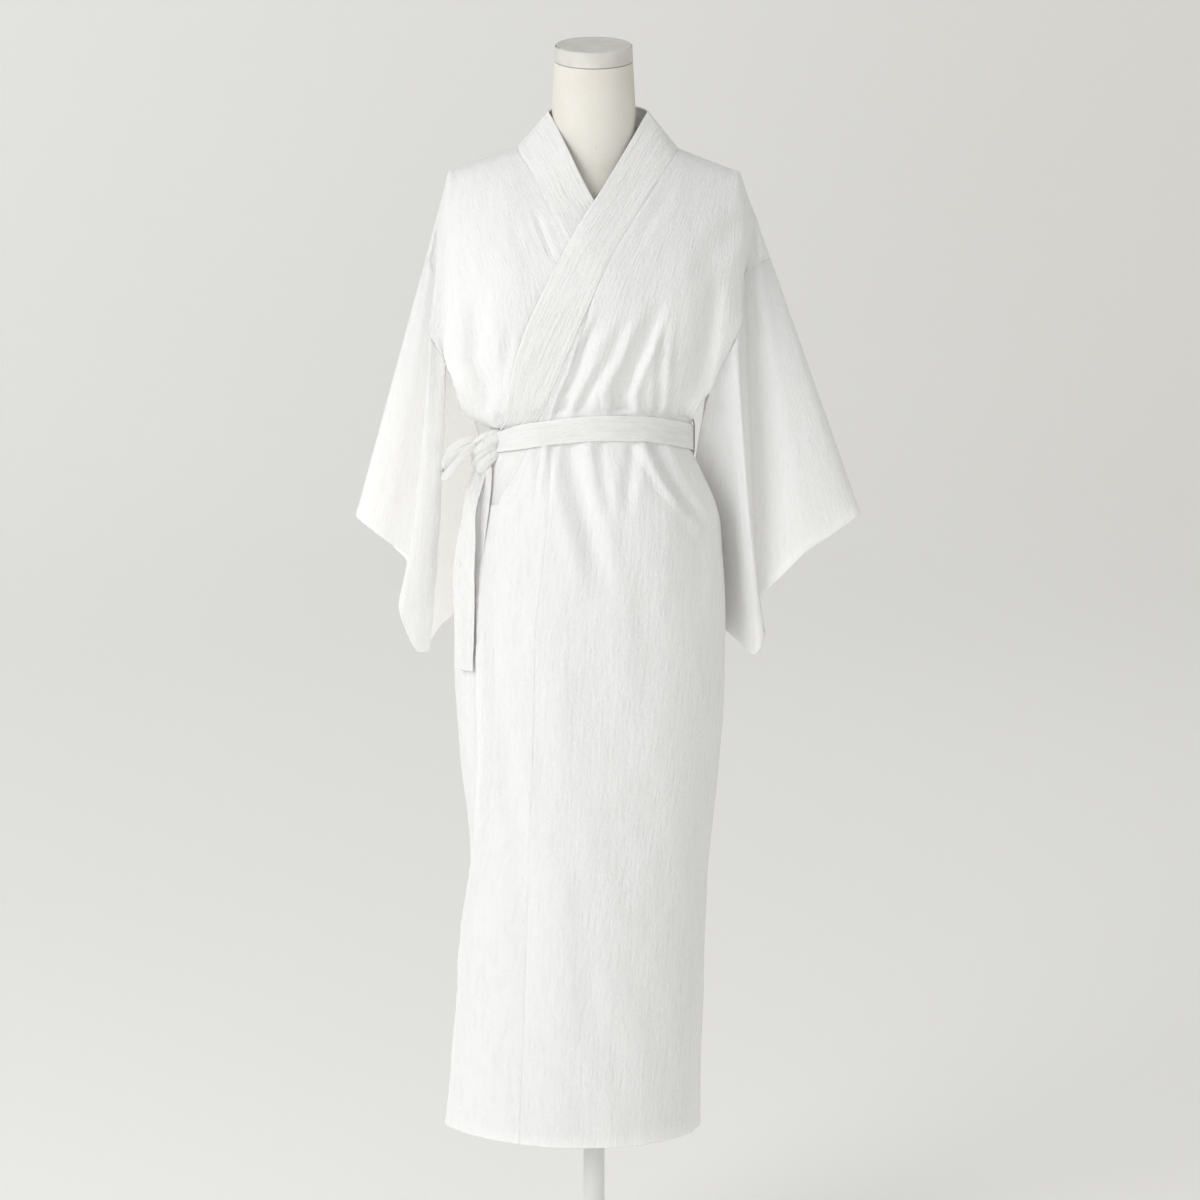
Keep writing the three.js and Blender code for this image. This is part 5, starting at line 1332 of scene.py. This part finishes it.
def lathe(name, profile, sides, tilt=0.0, height=0.0):
    """A turned solid from a profile of (radius, height), first and last on the axis."""
    rings = []
    for radius, z in profile:
        x, y = circle(radius, sides)
        rings.append(np.stack([x, y * math.cos(tilt) - z * math.sin(tilt),
                               y * math.sin(tilt) + z * math.cos(tilt) + height], axis=-1))
    return ring_object(name, rings[0][0], rings[1:-1], rings[-1][0])


def rounded(x, z, radius, start=0, end=90, steps=6):
    """Points of a round edge about a centre, from one angle to another in degrees."""
    angles = np.radians(np.linspace(start, end, steps + 1))
    return [(x + radius * math.cos(a), z + radius * math.sin(a)) for a in angles]


r, top = NECK_TOP_RADIUS, CAP_HEIGHT
cap = lathe("form_neck_cap", [
    (0, 0.4), (r - 3, 0.4), (r - 1, 0.4), (r, 1.4), (r - 0.1, 4), (r - 0.4, 10),
    *rounded(r - 3.2, top - 2.4, 2.5), (r - 6, top + 0.1), (r * 0.5, top + 0.4), (0, top + 0.6),
], 128, CAP_TILT, NECK_TOP_Z)
worn = cap.data.color_attributes.new("edge", "FLOAT_COLOR", "POINT")
for vertex, place in zip(cap.data.vertices, worn.data):
    x, y, z = vertex.co * 1000
    out = math.hypot(x, y / math.cos(CAP_TILT))
    level = (z - NECK_TOP_Z - y * math.tan(CAP_TILT)) * math.cos(CAP_TILT)
    near = max(0, 1 - abs(level - top + 1.2) / 2.4) * max(0, 1 - abs(out - r + 1.2) / 3.4)
    place.color = (near, near, near, 1)
seat(cap, "form_neck_cap", CAP_PAINT)

r, low, top = POLE_RADIUS, BASE_THICKNESS + FIT, POLE_TOP_Z
pole = lathe("form_pole", [
    (0, low), (r - 0.6, low), (r, low + 0.6), *((r, z) for z in np.linspace(60, top - 60, 16)),
    (r, top - 0.6), (r - 0.6, top), (0, top),
], 64)
seat(pole, "form_pole", STAND_PAINT)

r, top = BASE_RADIUS, BASE_THICKNESS
base = lathe("form_base", [
    (0, 0), (r - 1.5, 0), *rounded(r - 1.5, 1.5, 1.5, -90, 0, 3), *rounded(r - 2.6, top - 2.6, 2.6),
    (100, top), (60, top), (26, top), (24.6, top + 0.9), (24, top + 3), (22, top + 26),
    *rounded(20.4, top + 26.4, 1.6, steps=4), (socket + 0.3, top + 28), (socket, top + 27.6),
    (socket, top), (0, top),
], 128)
seat(base, "form_base", STAND_PAINT)

pin = thread("form_pin", [(3, -62.5, 1532), (3, -59.5, 1532)], 1.1, 16)
pin.data.materials.append(CAP_PAINT)
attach(pin, "root")


# ------------------------------------------------------------------ camera, light and room

scene = bpy.context.scene
scene.view_settings.view_transform = "Standard"
scene.world = bpy.data.worlds.new("room")
scene.world.use_nodes = True
background = scene.world.node_tree.nodes["Background"]
background.inputs["Color"].default_value = (0.94, 0.94, 0.935, 1)
background.inputs["Strength"].default_value = 0.55


def aimed(name, data, place, aim):
    made = bpy.data.objects.new(name, data)
    made.location = place
    made.rotation_euler = (Vector(aim) - Vector(place)).to_track_quat("-Z", "Y").to_euler()
    scene.collection.objects.link(made)
    return made


for name, place, aim, size, power in (("key", (-2.9, -2.9, 2.8), (0, 0, 1.3), 2.4, 78),
                                      ("fill", (1.0, -5.2, 1.9), (0, 0, 1.0), 3.0, 18),
                                      ("back", (1.2, 4.2, 3.8), (0, 0, 1.0), 2.4, 8)):
    light = bpy.data.lights.new(name, "AREA")
    light.shape, light.size, light.energy = "SQUARE", size, power
    aimed(name, light, place, aim)

CAMERA_PLACE, CAMERA_AIM = (0.008, -4.9, 1.68), (0.008, 0, 0.946)
camera = bpy.data.cameras.new("camera")
camera.lens, camera.sensor_width = 114.34, 36
scene.camera = aimed("camera", camera, CAMERA_PLACE, CAMERA_AIM)

# The floor curves up all round into a wall. Its profile has a radius and a height, in metres.
FLOOR_REACH, FLOOR_CURVE, FLOOR_SIDES = 8, 3, 72
profile = [(r, 0) for r in (0.4, 1, 2, 3.5, 5.5, FLOOR_REACH)]
profile += rounded(FLOOR_REACH, FLOOR_CURVE, FLOOR_CURVE, -84, 0, 14) + [(11, 4), (11, 5.5)]
rings = [np.stack([*circle(r, FLOOR_SIDES), np.full(FLOOR_SIDES, z)], axis=-1) for r, z in profile]
faces = [(0, 1 + i, 1 + (i + 1) % FLOOR_SIDES) for i in range(FLOOR_SIDES)]
faces += [face[::-1] for face in ring_faces(len(rings), FLOOR_SIDES, 1)]
floor = mesh_object("floor", 1000 * np.concatenate([[(0, 0, 0)], *rings]), faces)
floor.data.materials.append(paper("paper"))
